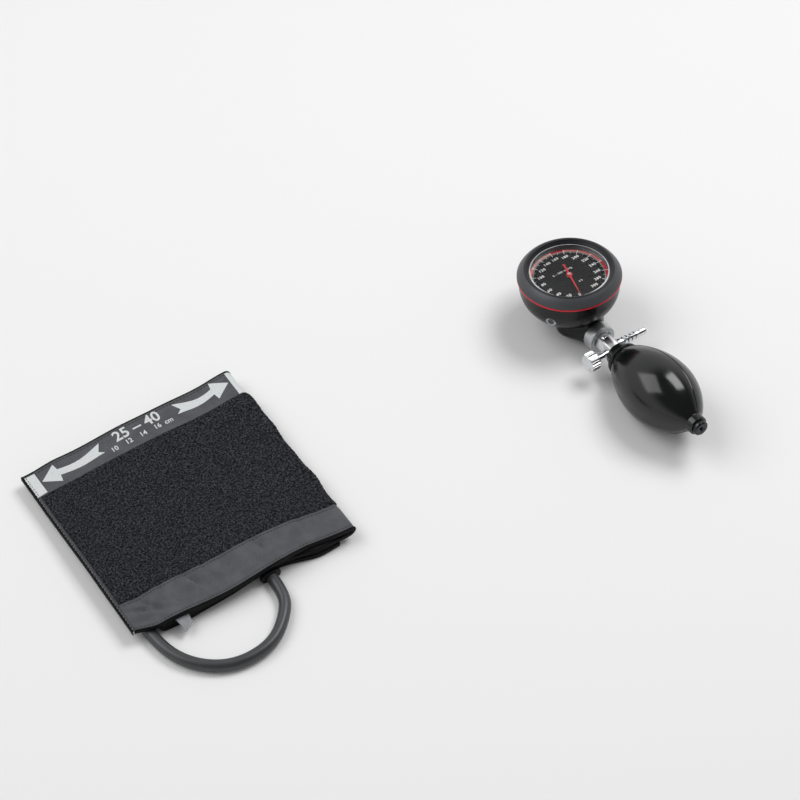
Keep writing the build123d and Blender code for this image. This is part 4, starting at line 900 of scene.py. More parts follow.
# Pile fuzz: loose loops that stand out of the matted pile and catch the light. Each is a short
# bent thread, set at random over the panel and leaning at random.
fuzz_nylon, tree, shader = material("loose nylon loop", "1E1F22", Roughness=0.7, Specular_IOR_Level=0.2)
shade = add(tree, "ShaderNodeTexNoise", Vector=in_mm(tree), Scale=0.7, Detail=3)
factor = add(tree, "ShaderNodeMapRange", Value=shade.outputs["Fac"], From_Min=0.42, From_Max=0.68)
tone = add(tree, "ShaderNodeMixRGB", Fac=factor.outputs[0], Color1=linear("0C0D0E"),
           Color2=linear("56575C"))
tree.links.new(tone.outputs[0], shader.inputs["Base Color"])
fuzz_tree, given = node_group("pile fuzz", ["Density", "Size"])
spots = add(fuzz_tree, "GeometryNodeDistributePointsOnFaces", Mesh=given.outputs["Geometry"],
            Density=given.outputs["Density"], Seed=7)
loop_line = add(fuzz_tree, "GeometryNodeCurveArc", Resolution=5, Radius=1.0,
                Start_Angle=math.radians(-15), Sweep_Angle=math.radians(210))
loop_section = add(fuzz_tree, "GeometryNodeCurvePrimitiveCircle", Resolution=3, Radius=0.16)
loop_mesh = add(fuzz_tree, "GeometryNodeCurveToMesh", Curve=loop_line.outputs["Curve"],
                Profile_Curve=loop_section.outputs["Curve"])
lean_back = add(fuzz_tree, "FunctionNodeRandomValue", data_type="FLOAT_VECTOR", i0=(0.9, -0.7, 0),
                i1=(2.2, 0.7, 6.28), Seed=11)
sizes = add(fuzz_tree, "FunctionNodeRandomValue", data_type="FLOAT", i2=0.6, i3=1.35, Seed=5)
scaled = add(fuzz_tree, "ShaderNodeMath", operation="MULTIPLY", i0=sizes.outputs[1],
             i1=given.outputs["Size"])
turned_loop = add(fuzz_tree, "FunctionNodeRotateRotation", Rotation=spots.outputs["Rotation"],
                  Rotate_By=lean_back.outputs[0], rotation_space="LOCAL")
placed = add(fuzz_tree, "GeometryNodeInstanceOnPoints", Points=spots.outputs["Points"],
             Instance=loop_mesh.outputs["Mesh"], Rotation=turned_loop.outputs[0],
             Scale=scaled.outputs[0])
made_real(fuzz_tree, placed.outputs[0], fuzz_nylon)
LOOPS_PER_M2, LOOP_RADIUS, LOOP_SUNK = 3.4e5, 0.00042, 0.12
fuzz_alongs = np.concatenate([
    np.linspace(PILE_FIRST + 1, AT_TOP, 14), np.linspace(AT_TOP + 1, PILE_LAST - 0.6, 60)])
a, b = np.meshgrid(fuzz_alongs, np.linspace(0.006, 0.994, 60), indexing="ij")
index, cells = cells_of(a)
fuzz_points = on_strip(a, on_panel(a, b), half + PILE_DEPTH - LOOP_SUNK).reshape(-1, 3)
fuzz_host = new_piece("fuzz_host", fuzz_points, cells.tolist(), fuzz_nylon)
pile_fuzz = grown("pile_fuzz", fuzz_host, fuzz_tree, Density=LOOPS_PER_M2, Size=LOOP_RADIUS)
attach(pile_fuzz, "cuff")


# Size tab: a folded tape woven from grey yarn and sewn between two layers, so that it sticks out
# of the front edge and droops a little.
tab_weave = weave("grey woven tab", "85888B", "A3A6A8", 0.3, 0.2)
TAB_ROOT, TAB_TIP = ((-183.2, -31.0), (-172.8, -31.0)), ((-180.0, -48.2), (-172.8, -43.6))
TAB_Z, TAB_THICK = 8.75, 0.35
tab_u, tab_v = np.meshgrid(np.linspace(0, 1, 12), np.linspace(0, 1, 18), indexing="ij")
root = np.array(TAB_ROOT[0]) + tab_u[..., None] * (np.array(TAB_ROOT[1]) - TAB_ROOT[0])
tip = np.array(TAB_TIP[0]) + tab_u[..., None] * (np.array(TAB_TIP[1]) - TAB_TIP[0])
tab_xy = root + tab_v[..., None] * (tip - root)
tab_z = TAB_Z - 2.6 * ease(tab_v, 0.4, 1.1) ** 1.5 + 0.35 * np.sin(tab_u * 5 + 1) * tab_v
tab_faces = [np.concatenate([tab_xy, (tab_z + lift)[..., None]], -1) for lift in (0.0, -TAB_THICK)]
size_tab = between("size_tab_tape", *tab_faces, tab_xy, tab_weave)
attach(size_tab, "cuff")
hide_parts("size_tab")


# Bladder port: the moulded rubber boss on the front edge, with a rounded rim, that the hose
# is bonded into.
PORT_ROUND, PORT_REACH = 3.9, 3.4
port_foot = Vector((HOSE_ROUTE[0][0] * 1000, STRIP["front"], HOSE_Z * 1000 + 0.2))
port_at = Matrix.Translation(port_foot) @ Matrix.Rotation(math.radians(90), 4, "X")
port_outline = (arc((PORT_REACH, 0), PORT_ROUND, -90, 90, 14)
                + arc((-PORT_REACH, 0), PORT_ROUND, 90, 270, 14))
# Its near-black tone, darker than the other rubber, is painted shade: the boss sits in the shadow under
# the top layer's front edge.
boss_painted_shade_rubber = mottled("black boss rubber", "0B0B0C", ("060607", "131415"), scale=0.6, detail=3,
                      Roughness=0.6, Specular_IOR_Level=0.3)
port_boss = prism("port_boss", port_outline, -1.5, 1.6, boss_painted_shade_rubber, 0.8, port_at)
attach(port_boss, "cuff")
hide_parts("bladder_port")


# Handpiece: everything on it is placed by the dial's axis and the neck's axis, which cross at
# HAND; the dial leans towards the bulb's far side. Each frame's z runs along a turned piece.
LEAN = math.radians(7.85)
HAND = Vector((173.6, 31.65, 11.07))
ACROSS = Vector((1, 0, 0))
FACE = Vector((0, math.sin(LEAN), math.cos(LEAN)))
TO_BULB = Vector((0, -math.cos(LEAN), math.sin(LEAN)))


def standing(origin, x, z):
    """A placing matrix from an origin and the directions of x and z."""
    return Matrix.Translation(origin) @ Matrix((x, z.cross(x), z)).transposed().to_4x4()


BARB_S, NEEDLE_S = 46.5, 49.6
DIAL = standing(HAND, ACROSS, FACE)
NECK = standing(HAND, ACROSS, TO_BULB)
BARB = standing(HAND + TO_BULB * BARB_S, FACE, ACROSS)
NEEDLE = standing(HAND + TO_BULB * NEEDLE_S, FACE, -ACROSS)


def through(a, b, c, steps):
    """An arc through three points of an outline."""
    (ax, ay), (bx, by), (cx, cy) = a, b, c
    d = 2 * (ax * (by - cy) + bx * (cy - ay) + cx * (ay - by))
    a2, b2, c2 = ax * ax + ay * ay, bx * bx + by * by, cx * cx + cy * cy
    ox = (a2 * (by - cy) + b2 * (cy - ay) + c2 * (ay - by)) / d
    oy = (a2 * (cx - bx) + b2 * (ax - cx) + c2 * (bx - ax)) / d
    first, last = math.atan2(ay - oy, ax - ox), math.atan2(cy - oy, cx - ox)
    if abs(last - first) > math.pi:
        last += math.copysign(2 * math.pi, first - last)
    return arc((ox, oy), math.hypot(ax - ox, ay - oy), math.degrees(first), math.degrees(last), steps)


def dressed(finish, *names):
    """CAD nodes shown as they are, with a finish of their own."""
    for name in names:
        node = frame["nodes"][name]
        node.data.materials.clear()
        node.data.materials.append(finish)


# Gauge housing: a die-cast bowl with the neck in one piece, sprayed with black enamel and baked.
# The enamel is glossy with a faint orange peel; it is cast, so its CAD shape is shown as it is.
enamel = mottled("baked black enamel", "0E0F10", ("060607", "0F1011"), scale=0.06, detail=3,
                 relief=(1.3, 2, 0.12, 0.00008), gloss=(0.3, 0.7, 0.22, 0.32), Roughness=0.27,
                 Specular_IOR_Level=0.26)
dressed(enamel, "gauge_housing")


# Side screws: three plated socket screws that hold the movement's ring, their heads just proud.
# The sockets are painted darker than the heads, as painted shade in their recesses.
screw_steel = mottled("plated screw steel", "9A9C9E", ("84868A", "B4B6B8"), scale=3, detail=3,
                      Roughness=0.35, Metallic=0.8)
# The socket finish is painted shade for the recess.
socket_painted_shade = mottled("oiled dark socket", "3A3B3E", ("1F2022", "66686B"), scale=2, detail=3,
                      Roughness=0.5)


def second_finish(piece, finish, place, covers):
    """Gives a turned piece's faces another finish where a test of radius, height and bearing holds."""
    piece.data.materials.append(finish)
    to_place = place.inverted()
    for polygon in piece.data.polygons:
        spot = to_place @ (polygon.center * 1000)
        if covers(math.hypot(spot.x, spot.y), spot.z, math.atan2(spot.y, spot.x)):
            polygon.material_index = 1


SCREW_ANGLES, SCREW_HEIGHT, SOCKET_R = (-149, -29, 91), 18, 2.1
heads = []
head_outline = rounded([(0, 32.35), (2.0, 32.35, 0.15), (2.15, 32.9, 0.12), (2.5, 33.05, 0.1),
                        (3.6, 32.95, 0.3), (4.05, 32.4, 0.2), (4.05, 30.9), (0, 30.9)], 3)
for angle in SCREW_ANGLES:
    a = math.radians(angle)
    out = (ACROSS * math.cos(a) - TO_BULB * math.sin(a)).normalized()
    screw_place = standing(HAND + FACE * SCREW_HEIGHT, FACE, out)
    head = lathe("screw_head", head_outline, screw_place, screw_steel, 48)
    second_finish(head, socket_painted_shade, screw_place, lambda radius, height, bearing: radius < SOCKET_R)
    heads.append(head)
side_screws = joined("side_screws", heads)
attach(side_screws, "handpiece")
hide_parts("housing_screws")


# Accent ring: a thin gasket moulded from red silicone, so matt and even. It is squeezed between
# bowl and bezel and bulges a little.
red_silicone = mottled("red silicone gasket", "E0182C", ("DA1428", "EE2A3C"), scale=0.5, detail=3,
                       Roughness=0.42, Specular_IOR_Level=0.35)
accent = lathe("accent_gasket", [(32.75, 31.42), (34.9, 31.42), (35.1, 31.2)]
               + through((35.2, 31.15), (35.75, 31.8), (35.45, 32.48), 8) + [(32.75, 32.48)],
               DIAL, red_silicone, 192, closed=True)
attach(accent, "handpiece")
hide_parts("accent_ring")


# Bezel: a heavy turned ring like a cut cone, its flank sprayed in fine-grained graphite enamel, with a
# cut line round its flat rim. The flat rim and the inner wall above the lens are painted darker, as
# painted shade. It screws down over the lens.
graphite = mottled("graphite enamel", "3C3D40", ("3A3B3E", "515256"), scale=5, detail=2,
                   relief=(5, 2, 0.2, 0.00004), Roughness=0.42, Metallic=0.2, Specular_IOR_Level=0.45)
# The near-black finish of the flat rim and of the inner wall down to the lens is painted shade.
rim_painted_shade = mottled("matt black rim", "18191B", ("141517", "202124"), scale=6, detail=2, Roughness=0.4,
                    Specular_IOR_Level=0.4)
RIM_CUT_R = 30.95
bezel_outline = (rounded([(32.85, 32.52), (35.3, 32.52, 0.15), (35.78, 33.0, 0.2), (35.78, 33.5)], 4)
                 + through((35.78, 33.5), (33.7, 36.8), (31.1, 39.2), 14)
                 + rounded([(31.05, 39.25), (RIM_CUT_R, 39.2, 0.03), (30.85, 39.42)], 2)
                 + through((30.82, 39.45), (30.62, 39.62), (30.3, 39.68), 4)
                 + rounded([(29.6, 39.68), (29.1, 39.5, 0.2), (28.6, 38.6, 0.1), (28.4, 38.2, 0.1),
                            (27.6, 37.4, 0.1), (27.45, 36.6)], 3)
                 + [(28.9, 36.6), (28.9, 34.65), (32.85, 34.65)])
bezel_ring = lathe("bezel_ring", bezel_outline, DIAL, graphite, 192, closed=True)
second_finish(bezel_ring, rim_painted_shade, DIAL,
              lambda radius, height, bearing: radius < RIM_CUT_R and height > 35)
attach(bezel_ring, "handpiece")
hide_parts("bezel")


# Lens: a disc of mineral glass on a clear rubber gasket, a little domed. It is coated, so it mirrors
# little; its low IOR stands for that. Its edge ring is pale and rough: a painted highlight, where the
# glass's edge catches the light.
glass, tree, shader = material("coated clear glass", "FFFFFF", Roughness=0.0, IOR=1.17,
                               Transmission_Weight=1.0)
smear = add(tree, "ShaderNodeTexNoise", Vector=in_mm(tree), Scale=0.06, Detail=2)
wave = add(tree, "ShaderNodeBump", Strength=0.02, Distance=0.0001, Height=smear.outputs["Fac"])
tree.links.new(wave.outputs[0], shader.inputs["Normal"])
dome = through((26.45, 36.95), (14.0, 37.75), (0.0, 38.0), 20)
lens_glass = lathe("lens_glass", rounded([
    (0, 34.95), (28.3, 34.95, 0.1), (28.65, 35.3, 0.1), (28.65, 36.1, 0.1), (28.25, 36.48, 0.1),
    (27.3, 36.5)], 2) + dome, DIAL, glass, 192)
# The edge ring's near-white tone is a painted highlight of the light that the glass's edge catches.
glass_edge_painted_highlight = mottled("ground glass edge", "C9CDCF", ("9DA1A4", "F2F4F5"), scale=0.25, detail=4,
                 Roughness=0.35)
EDGE_HIGHLIGHT_FROM, EDGE_HIGHLIGHT_TO = 26.5, 27.3
second_finish(lens_glass, glass_edge_painted_highlight, DIAL,
              lambda radius, height, bearing: EDGE_HIGHLIGHT_FROM < radius < EDGE_HIGHLIGHT_TO and height > 36)
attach(lens_glass, "handpiece")
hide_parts("lens")
gasket_rubber = mottled("clear rubber gasket", "5E6164", ("45474A", "7A7D80"), scale=0.5, detail=3,
                        Roughness=0.4)
dressed(gasket_rubber, "lens_gasket", "neck_washer")


# Dial ring: the stepped spacer under the glass that holds the dial down. It is turned with fine
# ridges and painted dark, so that each ridge shows as a light line.
ring_paint = mottled("ridged dark ring", "2A2B2E", ("3A3B3E", "6B6D70"), scale=1.2, detail=3,
                     Roughness=0.32, Metallic=0.3)
RIDGES, RIDGE_RISE, RIDGE_STEP = 5, 0.56, 0.27
ridges = []
for k in range(RIDGES):
    foot, step = 31.35 + RIDGE_RISE * k, RIDGE_STEP * k
    ridges += [(26.7 + step, foot), (26.7 + step, foot + 0.4), (26.9 + step, foot + 0.52)]
spacer = lathe("dial_spacer", ridges + [(28.1, 34.18), (31.15, 34.18), (31.15, 31.32), (26.72, 31.32)],
               DIAL, ring_paint, 192, closed=True)
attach(spacer, "handpiece")
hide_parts("dial_ring")


# Dial: a thin black aluminium plate with its scale printed in white, grey and reds. The scale
# runs clockwise from zero at the bottom, in millimetres of mercury, and is turned a little.
ZERO_CLOCK, TURN_PER_MMHG = 195.6, 320 / 300
DIAL_FACE = 31.3


def on_scale(pressure, radius):
    """A point of the dial at a pressure and a radius."""
    clock = math.radians(ZERO_CLOCK + TURN_PER_MMHG * pressure)
    return (radius * math.sin(clock), radius * math.cos(clock))


dial_black = mottled("black dial lacquer", "151618", ("0E0F10", "18191B"), scale=4, detail=3,
                     Roughness=0.6, Specular_IOR_Level=0.15)
dial_disc = lathe("dial_disc", rounded([
    (1.62, 30.72), (31.15, 30.72, 0.1), (31.15, 31.3, 0.1), (1.62, 31.3)], 2), DIAL, dial_black, 128,
    closed=True)
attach(dial_disc, "handpiece")
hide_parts("dial_plate")


def ink(name, colour):
    """A flat printing ink, very slightly uneven."""
    made, tree, shader = material(name, colour, Roughness=0.55)
    patchy = add(tree, "ShaderNodeTexNoise", Vector=in_mm(tree), Scale=1.5, Detail=3)
    darker = [c * 0.88 for c in linear(colour)[:3]] + [1]
    tone = add(tree, "ShaderNodeMixRGB", Fac=patchy.outputs["Fac"], Color1=darker,
               Color2=linear(colour))
    tree.links.new(tone.outputs[0], shader.inputs["Base Color"])
    return made


dial_white = ink("white dial ink", "FFFFFF")
dial_grey = ink("grey dial ink", "77797D")
dial_red = ink("red dial ink", "EE1C34")
dial_salmon = ink("salmon dial ink", "FF8A85")
dial_pink = ink("pink dial ink", "FFB9B2")
INK_Z = DIAL_FACE + 0.03


def on_dial_piece(name, shapes, finish):
    """Flat shapes in the dial's x and y as one printed piece."""
    points, faces = [], []
    for corners, polygons in shapes:
        faces += [[i + len(points) for i in polygon] for polygon in polygons]
        points += [DIAL @ Vector((x, y, INK_Z)) for x, y in corners]
    piece = new_piece(name, points, faces, finish)
    facing(piece, FACE)
    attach(piece, "handpiece")


def scale_arc(first, last, inner, outer):
    """Part of a ring between two pressures and two radii."""
    marks = np.linspace(first, last, max(2, int((last - first) / 2) + 1))
    rim = [on_scale(p, outer) for p in marks] + [on_scale(p, inner) for p in marks[::-1]]
    count = len(marks)
    return rim, [[k, k + 1, 2 * count - 2 - k, 2 * count - 1 - k] for k in range(count - 1)]


GAP = 0.7
SCALE_IN, SCALE_OUT, BAND_IN, BAND_OUT = 23.9, 24.6, 24.8, 26.6
band = {dial_red: ((88, 100), (160, 180), (240, 260), (260, 280), (280, 300)),
        dial_salmon: ((100, 120), (180, 200), (200, 220), (220, 240)),
        dial_pink: ((120, 140), (140, 160))}
for colour, spans in band.items():
    name = "band_" + colour.name.split()[0]
    on_dial_piece(name, [scale_arc(a + GAP, b - GAP, BAND_IN, BAND_OUT) for a, b in spans], colour)
gaps = [scale_arc(p - GAP, p + GAP, SCALE_OUT, BAND_OUT) for p in range(100, 300, 20)]
on_dial_piece("band_gaps", gaps, dial_white)
on_dial_piece("scale_ring", [scale_arc(0, 300, SCALE_IN, SCALE_OUT)], dial_grey)

tick_tree, given = node_group("scale ticks", ["Count", "Step", "Inner", "Outer", "Width"])
count = add(tick_tree, "FunctionNodeFloatToInt", Float=given.outputs["Count"])
tick_points = add(tick_tree, "GeometryNodePoints", Count=count.outputs[0])
place = add(tick_tree, "GeometryNodeInputIndex")
angle = add(tick_tree, "ShaderNodeMath", operation="MULTIPLY", i0=place.outputs[0],
            i1=given.outputs["Step"])
angle = add(tick_tree, "ShaderNodeMath", operation="MULTIPLY", i0=angle.outputs[0], i1=-1.0)
spin = add(tick_tree, "ShaderNodeCombineXYZ", Z=angle.outputs[0])
length = add(tick_tree, "ShaderNodeMath", operation="SUBTRACT", i0=given.outputs["Outer"],
             i1=given.outputs["Inner"])
middle = add(tick_tree, "ShaderNodeMath", operation="ADD", i0=given.outputs["Outer"],
             i1=given.outputs["Inner"])
middle = add(tick_tree, "ShaderNodeMath", operation="MULTIPLY", i0=middle.outputs[0], i1=0.5)
size = add(tick_tree, "ShaderNodeCombineXYZ", X=given.outputs["Width"], Y=length.outputs[0], Z=0.00003)
tick = add(tick_tree, "GeometryNodeMeshCube", Size=size.outputs[0])
offset = add(tick_tree, "ShaderNodeCombineXYZ", Y=middle.outputs[0])
tick = add(tick_tree, "GeometryNodeTransform", Geometry=tick.outputs[0], Translation=offset.outputs[0])
placed = add(tick_tree, "GeometryNodeInstanceOnPoints", Points=tick_points.outputs[0],
             Instance=tick.outputs[0], Rotation=spin.outputs[0])
made_real(tick_tree, placed.outputs[0], dial_white)
ZERO_TURN = Matrix.Rotation(-math.radians(ZERO_CLOCK), 4, "Z")
TICKS = (("fine_ticks", 2, 23.8, 0.16), ("ten_ticks", 10, 22.9, 0.24), ("twenty_ticks", 20, 22.3, 0.36))
lift = Matrix.Translation((0, 0, (INK_Z + 0.01) / 1000))
in_metres = Matrix.Translation(DIAL.translation / 1000) @ DIAL.to_3x3().to_4x4()
for name, every, inner, width in TICKS:
    blank = in_scene(name, bpy.data.meshes.new(name))
    ticks = grown(name, blank, tick_tree, Count=300 // every + 1,
                  Step=math.radians(TURN_PER_MMHG * every), Inner=inner / 1000,
                  Outer=SCALE_OUT / 1000, Width=width / 1000)
    ticks.data.transform(in_metres @ lift @ ZERO_TURN)
    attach(ticks, "handpiece")

NUMERAL_R, NUMERAL_SIZE = 19.1, 3.1
numerals = [flat_text(str(p), NUMERAL_SIZE, on_scale(p, NUMERAL_R), bold=0.02, gap=1.15)
            for p in range(0, 301, 20)]
on_dial_piece("scale_numerals", numerals, dial_white)
unit_text = [flat_text("0 – 300 mmHg", 2.3, (-1.4, 6.1), bold=0.008, gap=1.12),
             flat_text("± 3", 2.2, (3.2, -8.2), bold=0.008)]
on_dial_piece("unit_mark", unit_text, dial_white)


# Pointer: stamped from thin sheet and painted red, with a long finger, a hub and a drop-shaped
# tail that balances it. It rests at zero and turns clockwise.
pointer_red = mottled("red pointer paint", "D10F26", ("C50C22", "DE1A30"), scale=1, detail=2,
                      Roughness=0.4)
FINGER_LENGTH, TIP_HALF, HUB_R, TAIL_HALF = 20.4, 0.14, 2.1, 0.62
pointer_line = ([(FINGER_LENGTH, TIP_HALF)] + arc((0, 0), HUB_R, 18, 164, 14) + [(-8.6, TAIL_HALF)]
                + arc((-9.75, 0), 1.25, 140, 220, 10) + [(-8.6, -TAIL_HALF)]
                + arc((0, 0), HUB_R, 196, 342, 14) + [(FINGER_LENGTH, -TIP_HALF)])
rest = math.radians(90 - ZERO_CLOCK)
pointer_outline = [(u * math.cos(rest) - v * math.sin(rest), u * math.sin(rest) + v * math.cos(rest))
                   for u, v in pointer_line]
needle_hand = prism("pointer_hand", pointer_outline, 32.42, 32.75, pointer_red, 0.08, DIAL)
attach(needle_hand, "pointer_shaft")
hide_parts("pointer")


# Movement and check valves: lacquered brass plates, gears and a bronze capsule behind the dial,
# and a ball, a rubber disc and what holds them in the bulb's two ends. All of them are turned,
# stamped or moulded, and hidden, so their CAD shapes are shown as they are.
def metal(name, dark, light, roughness, grain=2.0):
    """A bare metal with faint working marks."""
    return mottled(name, light, (dark, light), scale=grain, detail=4, relief=(grain, 4, 0.15, 0.00003),
                   Roughness=roughness, Metallic=1.0)


brass = metal("lacquered brass", "A98442", "D0AC62", 0.3)
steel = metal("spring steel", "8D9093", "B9BCBF", 0.28)
bronze = metal("phosphor bronze", "9A6B43", "C18F63", 0.35)
dressed(brass, "movement_base_plate", "movement_top_plate", "movement_pillars", "shaft_hangers",
        "sector_gear", "outlet_seat")
dressed(steel, "movement_base_screws", "movement_top_screws", "rocking_shaft", "hairspring",
        "capsule_post", "intake_ball", "ball_stop")
dressed(bronze, "aneroid_capsule")
dressed(metal("nickelled arbor", "B6B2A8", "DAD6CC", 0.25), "pointer_arbor")
outlet_rubber = mottled("black valve rubber", "202123", ("18191B", "2A2B2E"), scale=1, detail=2,
                        Roughness=0.6)
dressed(outlet_rubber, "outlet_disc")


# Collar: the union nut between neck and valve, turned from nickelled bar and brushed while it
# spins, so that fine marks run round it.
brushed, tree, shader = material("brushed nickel", "A7A9AB", Roughness=0.34, Metallic=1.0)
place = add(tree, "ShaderNodeMapping", Vector=in_mm(tree), Scale=(0.4, 9, 0.4))
lines = add(tree, "ShaderNodeTexNoise", Vector=place.outputs[0], Scale=1, Detail=5)
tone = add(tree, "ShaderNodeMixRGB", Fac=lines.outputs["Fac"], Color1=linear("96989A"),
           Color2=linear("D2D4D5"))
tree.links.new(tone.outputs[0], shader.inputs["Base Color"])
bump = add(tree, "ShaderNodeBump", Strength=0.3, Distance=0.00005, Height=lines.outputs["Fac"])
tree.links.new(bump.outputs[0], shader.inputs["Normal"])
union_nut = lathe("union_nut", rounded([
    (7.42, 29.22), (9.9, 29.22, 0.15), (10.2, 29.55, 0.15), (10.2, 36.9, 0.25), (9.7, 37.38, 0.2),
    (7.05, 37.38, 0.1), (7.05, 36.02), (7.42, 36.02)], 3), NECK, brushed, 128, closed=True)
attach(union_nut, "handpiece")
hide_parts("collar")


# Valve body: six-sided brass bar, chromed, with every edge a little rounded by the polishing
# wheel. Its flats are satin, its flange and its spigot bright. A small port in the top flat is
# closed by a dished plug.
chrome, tree, shader = material("bright chrome plate", "D9DBDD", Roughness=0.06, Metallic=1.0)
plating = add(tree, "ShaderNodeTexNoise", Vector=in_mm(tree), Scale=0.35, Detail=3)
gloss = add(tree, "ShaderNodeMapRange", Value=plating.outputs["Fac"], From_Min=0.35, From_Max=0.7,
            To_Min=0.04, To_Max=0.13)
tree.links.new(gloss.outputs[0], shader.inputs["Roughness"])
ripple = add(tree, "ShaderNodeBump", Strength=0.1, Distance=0.0001, Height=plating.outputs["Fac"])
tree.links.new(ripple.outputs[0], shader.inputs["Normal"])
satin_chrome = metal("satin chrome plate", "C4C6C8", "ECEDEE", 0.3)
VALVE_FLATS, VALVE_TURN, CROWN, EDGE_ROUND = 11.6, 12, 0.38, 0.28
PORT_S, PORT_R = 41.6, 2.2
hex_corner = VALVE_FLATS / 2 / math.cos(math.radians(30))
hex_turn = NECK @ Matrix.Rotation(math.radians(VALVE_TURN), 4, "Z")


def crowned_hex(radius, height, angle):
    """Six sides, a little crowned by the polishing wheel."""
    off = (angle + math.pi / 6) % (math.pi / 3) - math.pi / 6
    flat = radius * math.cos(math.pi / 6) / math.cos(math.pi / 6 - abs(off))
    return (1 - CROWN) * flat + CROWN * min(radius, hex_corner * 0.945)


hex_outline = [(0, 36.0), (hex_corner, 36.0), (hex_corner, 51.4), (hex_corner - 0.8, 52.5), (0, 52.5)]
hex_bar = lathe("hex_bar", hex_outline, hex_turn, satin_chrome, 72, turn=crowned_hex)
port_tilt = math.radians(VALVE_TURN)
port_out = (FACE * math.cos(port_tilt) - ACROSS * math.sin(port_tilt)).normalized()
port_place = standing(HAND + TO_BULB * PORT_S, TO_BULB, port_out)
port_floor, drill_top = VALVE_FLATS / 2 - 0.9, VALVE_FLATS / 2 + 2
drill_outline = [(0, port_floor), (PORT_R, port_floor), (PORT_R, drill_top), (0, drill_top)]
drill = lathe("drill", drill_outline, port_place, chrome, 48)
cut = hex_bar.modifiers.new("port", "BOOLEAN")
cut.operation, cut.object, cut.solver = "DIFFERENCE", drill, "EXACT"
soften = hex_bar.modifiers.new("edges", "BEVEL")
soften.width, soften.segments, soften.limit_method = EDGE_ROUND / 1000, 3, "ANGLE"
graph = bpy.context.evaluated_depsgraph_get()
bar_mesh = bpy.data.meshes.new_from_object(hex_bar.evaluated_get(graph), depsgraph=graph)
hex_bar.modifiers.clear()
hex_bar.data = bar_mesh
bpy.data.objects.remove(drill)
flange = lathe("flange", rounded([(0, 34.85), (7.15, 34.85, 0.1), (7.15, 36.0, 0.1), (0, 36.0)], 2),
               NECK, chrome)
spigot = lathe("spigot", rounded([
    (1.6, 52.4), (5.0, 52.4), (5.0, 59.4, 0.2), (4.4, 60.0, 0.1), (3.72, 60.0), (3.72, 55.8),
    (1.6, 55.8)], 2), NECK, chrome, 64, closed=True)
valve = joined("valve_bar", [hex_bar, flange, spigot])
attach(valve, "handpiece")
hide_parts("valve_body")
plug = lathe("dished_plug", rounded([
    (0, 5.08), (0.9, 5.12, 0.2), (1.5, 5.35, 0.2), (2.16, 5.42, 0.08), (2.16, 4.92),
    (0, 4.92)], 3), port_place, chrome, 48)
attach(plug, "handpiece")
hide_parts("port_plug")


# Hose barb: turned from brass and chromed bright. Four sharp rings grip the hose, and the nose
# ahead of them is smooth.
barb_turned = lathe("barb_turned", rounded([
    (0, 3.42), (2.18, 3.42), (2.18, 5.62), (3.4, 5.62, 0.15), (3.4, 8.55, 0.2), (2.1, 8.6, 0.1),
    (2.1, 10.0, 0.1), (3.3, 10.4, 0.08), (2.3, 13.4, 0.06), (3.1, 13.45, 0.08), (2.3, 16.6, 0.06),
    (3.05, 16.65, 0.08), (2.3, 19.8, 0.06), (3.0, 19.85, 0.08), (2.5, 23.2, 0.3), (2.65, 24.0, 0.3),
    (2.65, 28.2, 0.8), (1.9, 29.45, 0.3), (1.3, 29.48), (1.25, 28.6), (1.25, 4.0),
    (0, 4.0)], 3), BARB, chrome, 72)
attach(barb_turned, "handpiece")
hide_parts("hose_barb")


# Release valve: a chromed screw with a straight-knurled knob. The gland nut is fixed in the body;
# the stem slides in it, and the knob turns with the stem's thread.
gland = lathe("gland_nut", rounded([
    (1.97, 5.02), (2.8, 5.02), (2.8, 7.95, 0.25), (1.97, 7.95)], 3), NEEDLE, chrome, 64, closed=True)
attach(gland, "handpiece")
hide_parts("needle_gland")
stem = lathe("needle_turned", rounded([
    (0, 1.92), (0.75, 3.3), (1.9, 3.3, 0.1), (1.9, 14.0), (1.9, 21.55, 0.2), (0, 21.55)], 3), NEEDLE,
    chrome, 48)
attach(stem, "needle")
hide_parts("needle_stem")
KNOB_START, KNOB_LENGTH, KNOB_RIM_R, KNOB_MARGIN = 14.6, 8.0, 6.3, 0.85
KNOB_GROOVES, GROOVE_DEPTH, GROOVE_NARROWING = 24, 0.55, 3.1


def knurl(radius, height, angle):
    """Round grooves cut along the knob's rim."""
    up = height - KNOB_START
    if radius < KNOB_RIM_R or not KNOB_MARGIN < up < KNOB_LENGTH - KNOB_MARGIN:
        return radius
    turn = (angle * KNOB_GROOVES / (2 * math.pi)) % 1 - 0.5
    return radius - GROOVE_DEPTH * max(0.0, 1 - (turn * GROOVE_NARROWING) ** 2)


knob_turned = lathe("knob_turned", rounded([
    (1.97, KNOB_START + 0.02), (5.7, KNOB_START + 0.02, 0.3), (6.45, KNOB_START + 0.8, 0.2),
    (6.5, KNOB_START + 0.9), (6.5, KNOB_START + 1.3), (6.5, KNOB_START + 6.7),
    (6.5, KNOB_START + 7.1), (6.45, KNOB_START + 7.2), (5.7, KNOB_START + 7.98, 0.4),
    (4.4, KNOB_START + 7.98, 0.1), (3.9, KNOB_START + 7.6, 0.2), (0, KNOB_START + 7.5),
    (0, KNOB_START + 7.1), (1.97, KNOB_START + 7.08)], 3), NEEDLE, chrome, 288,
    closed=True, turn=knurl)
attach(knob_turned, "knob")
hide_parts("release_knob")


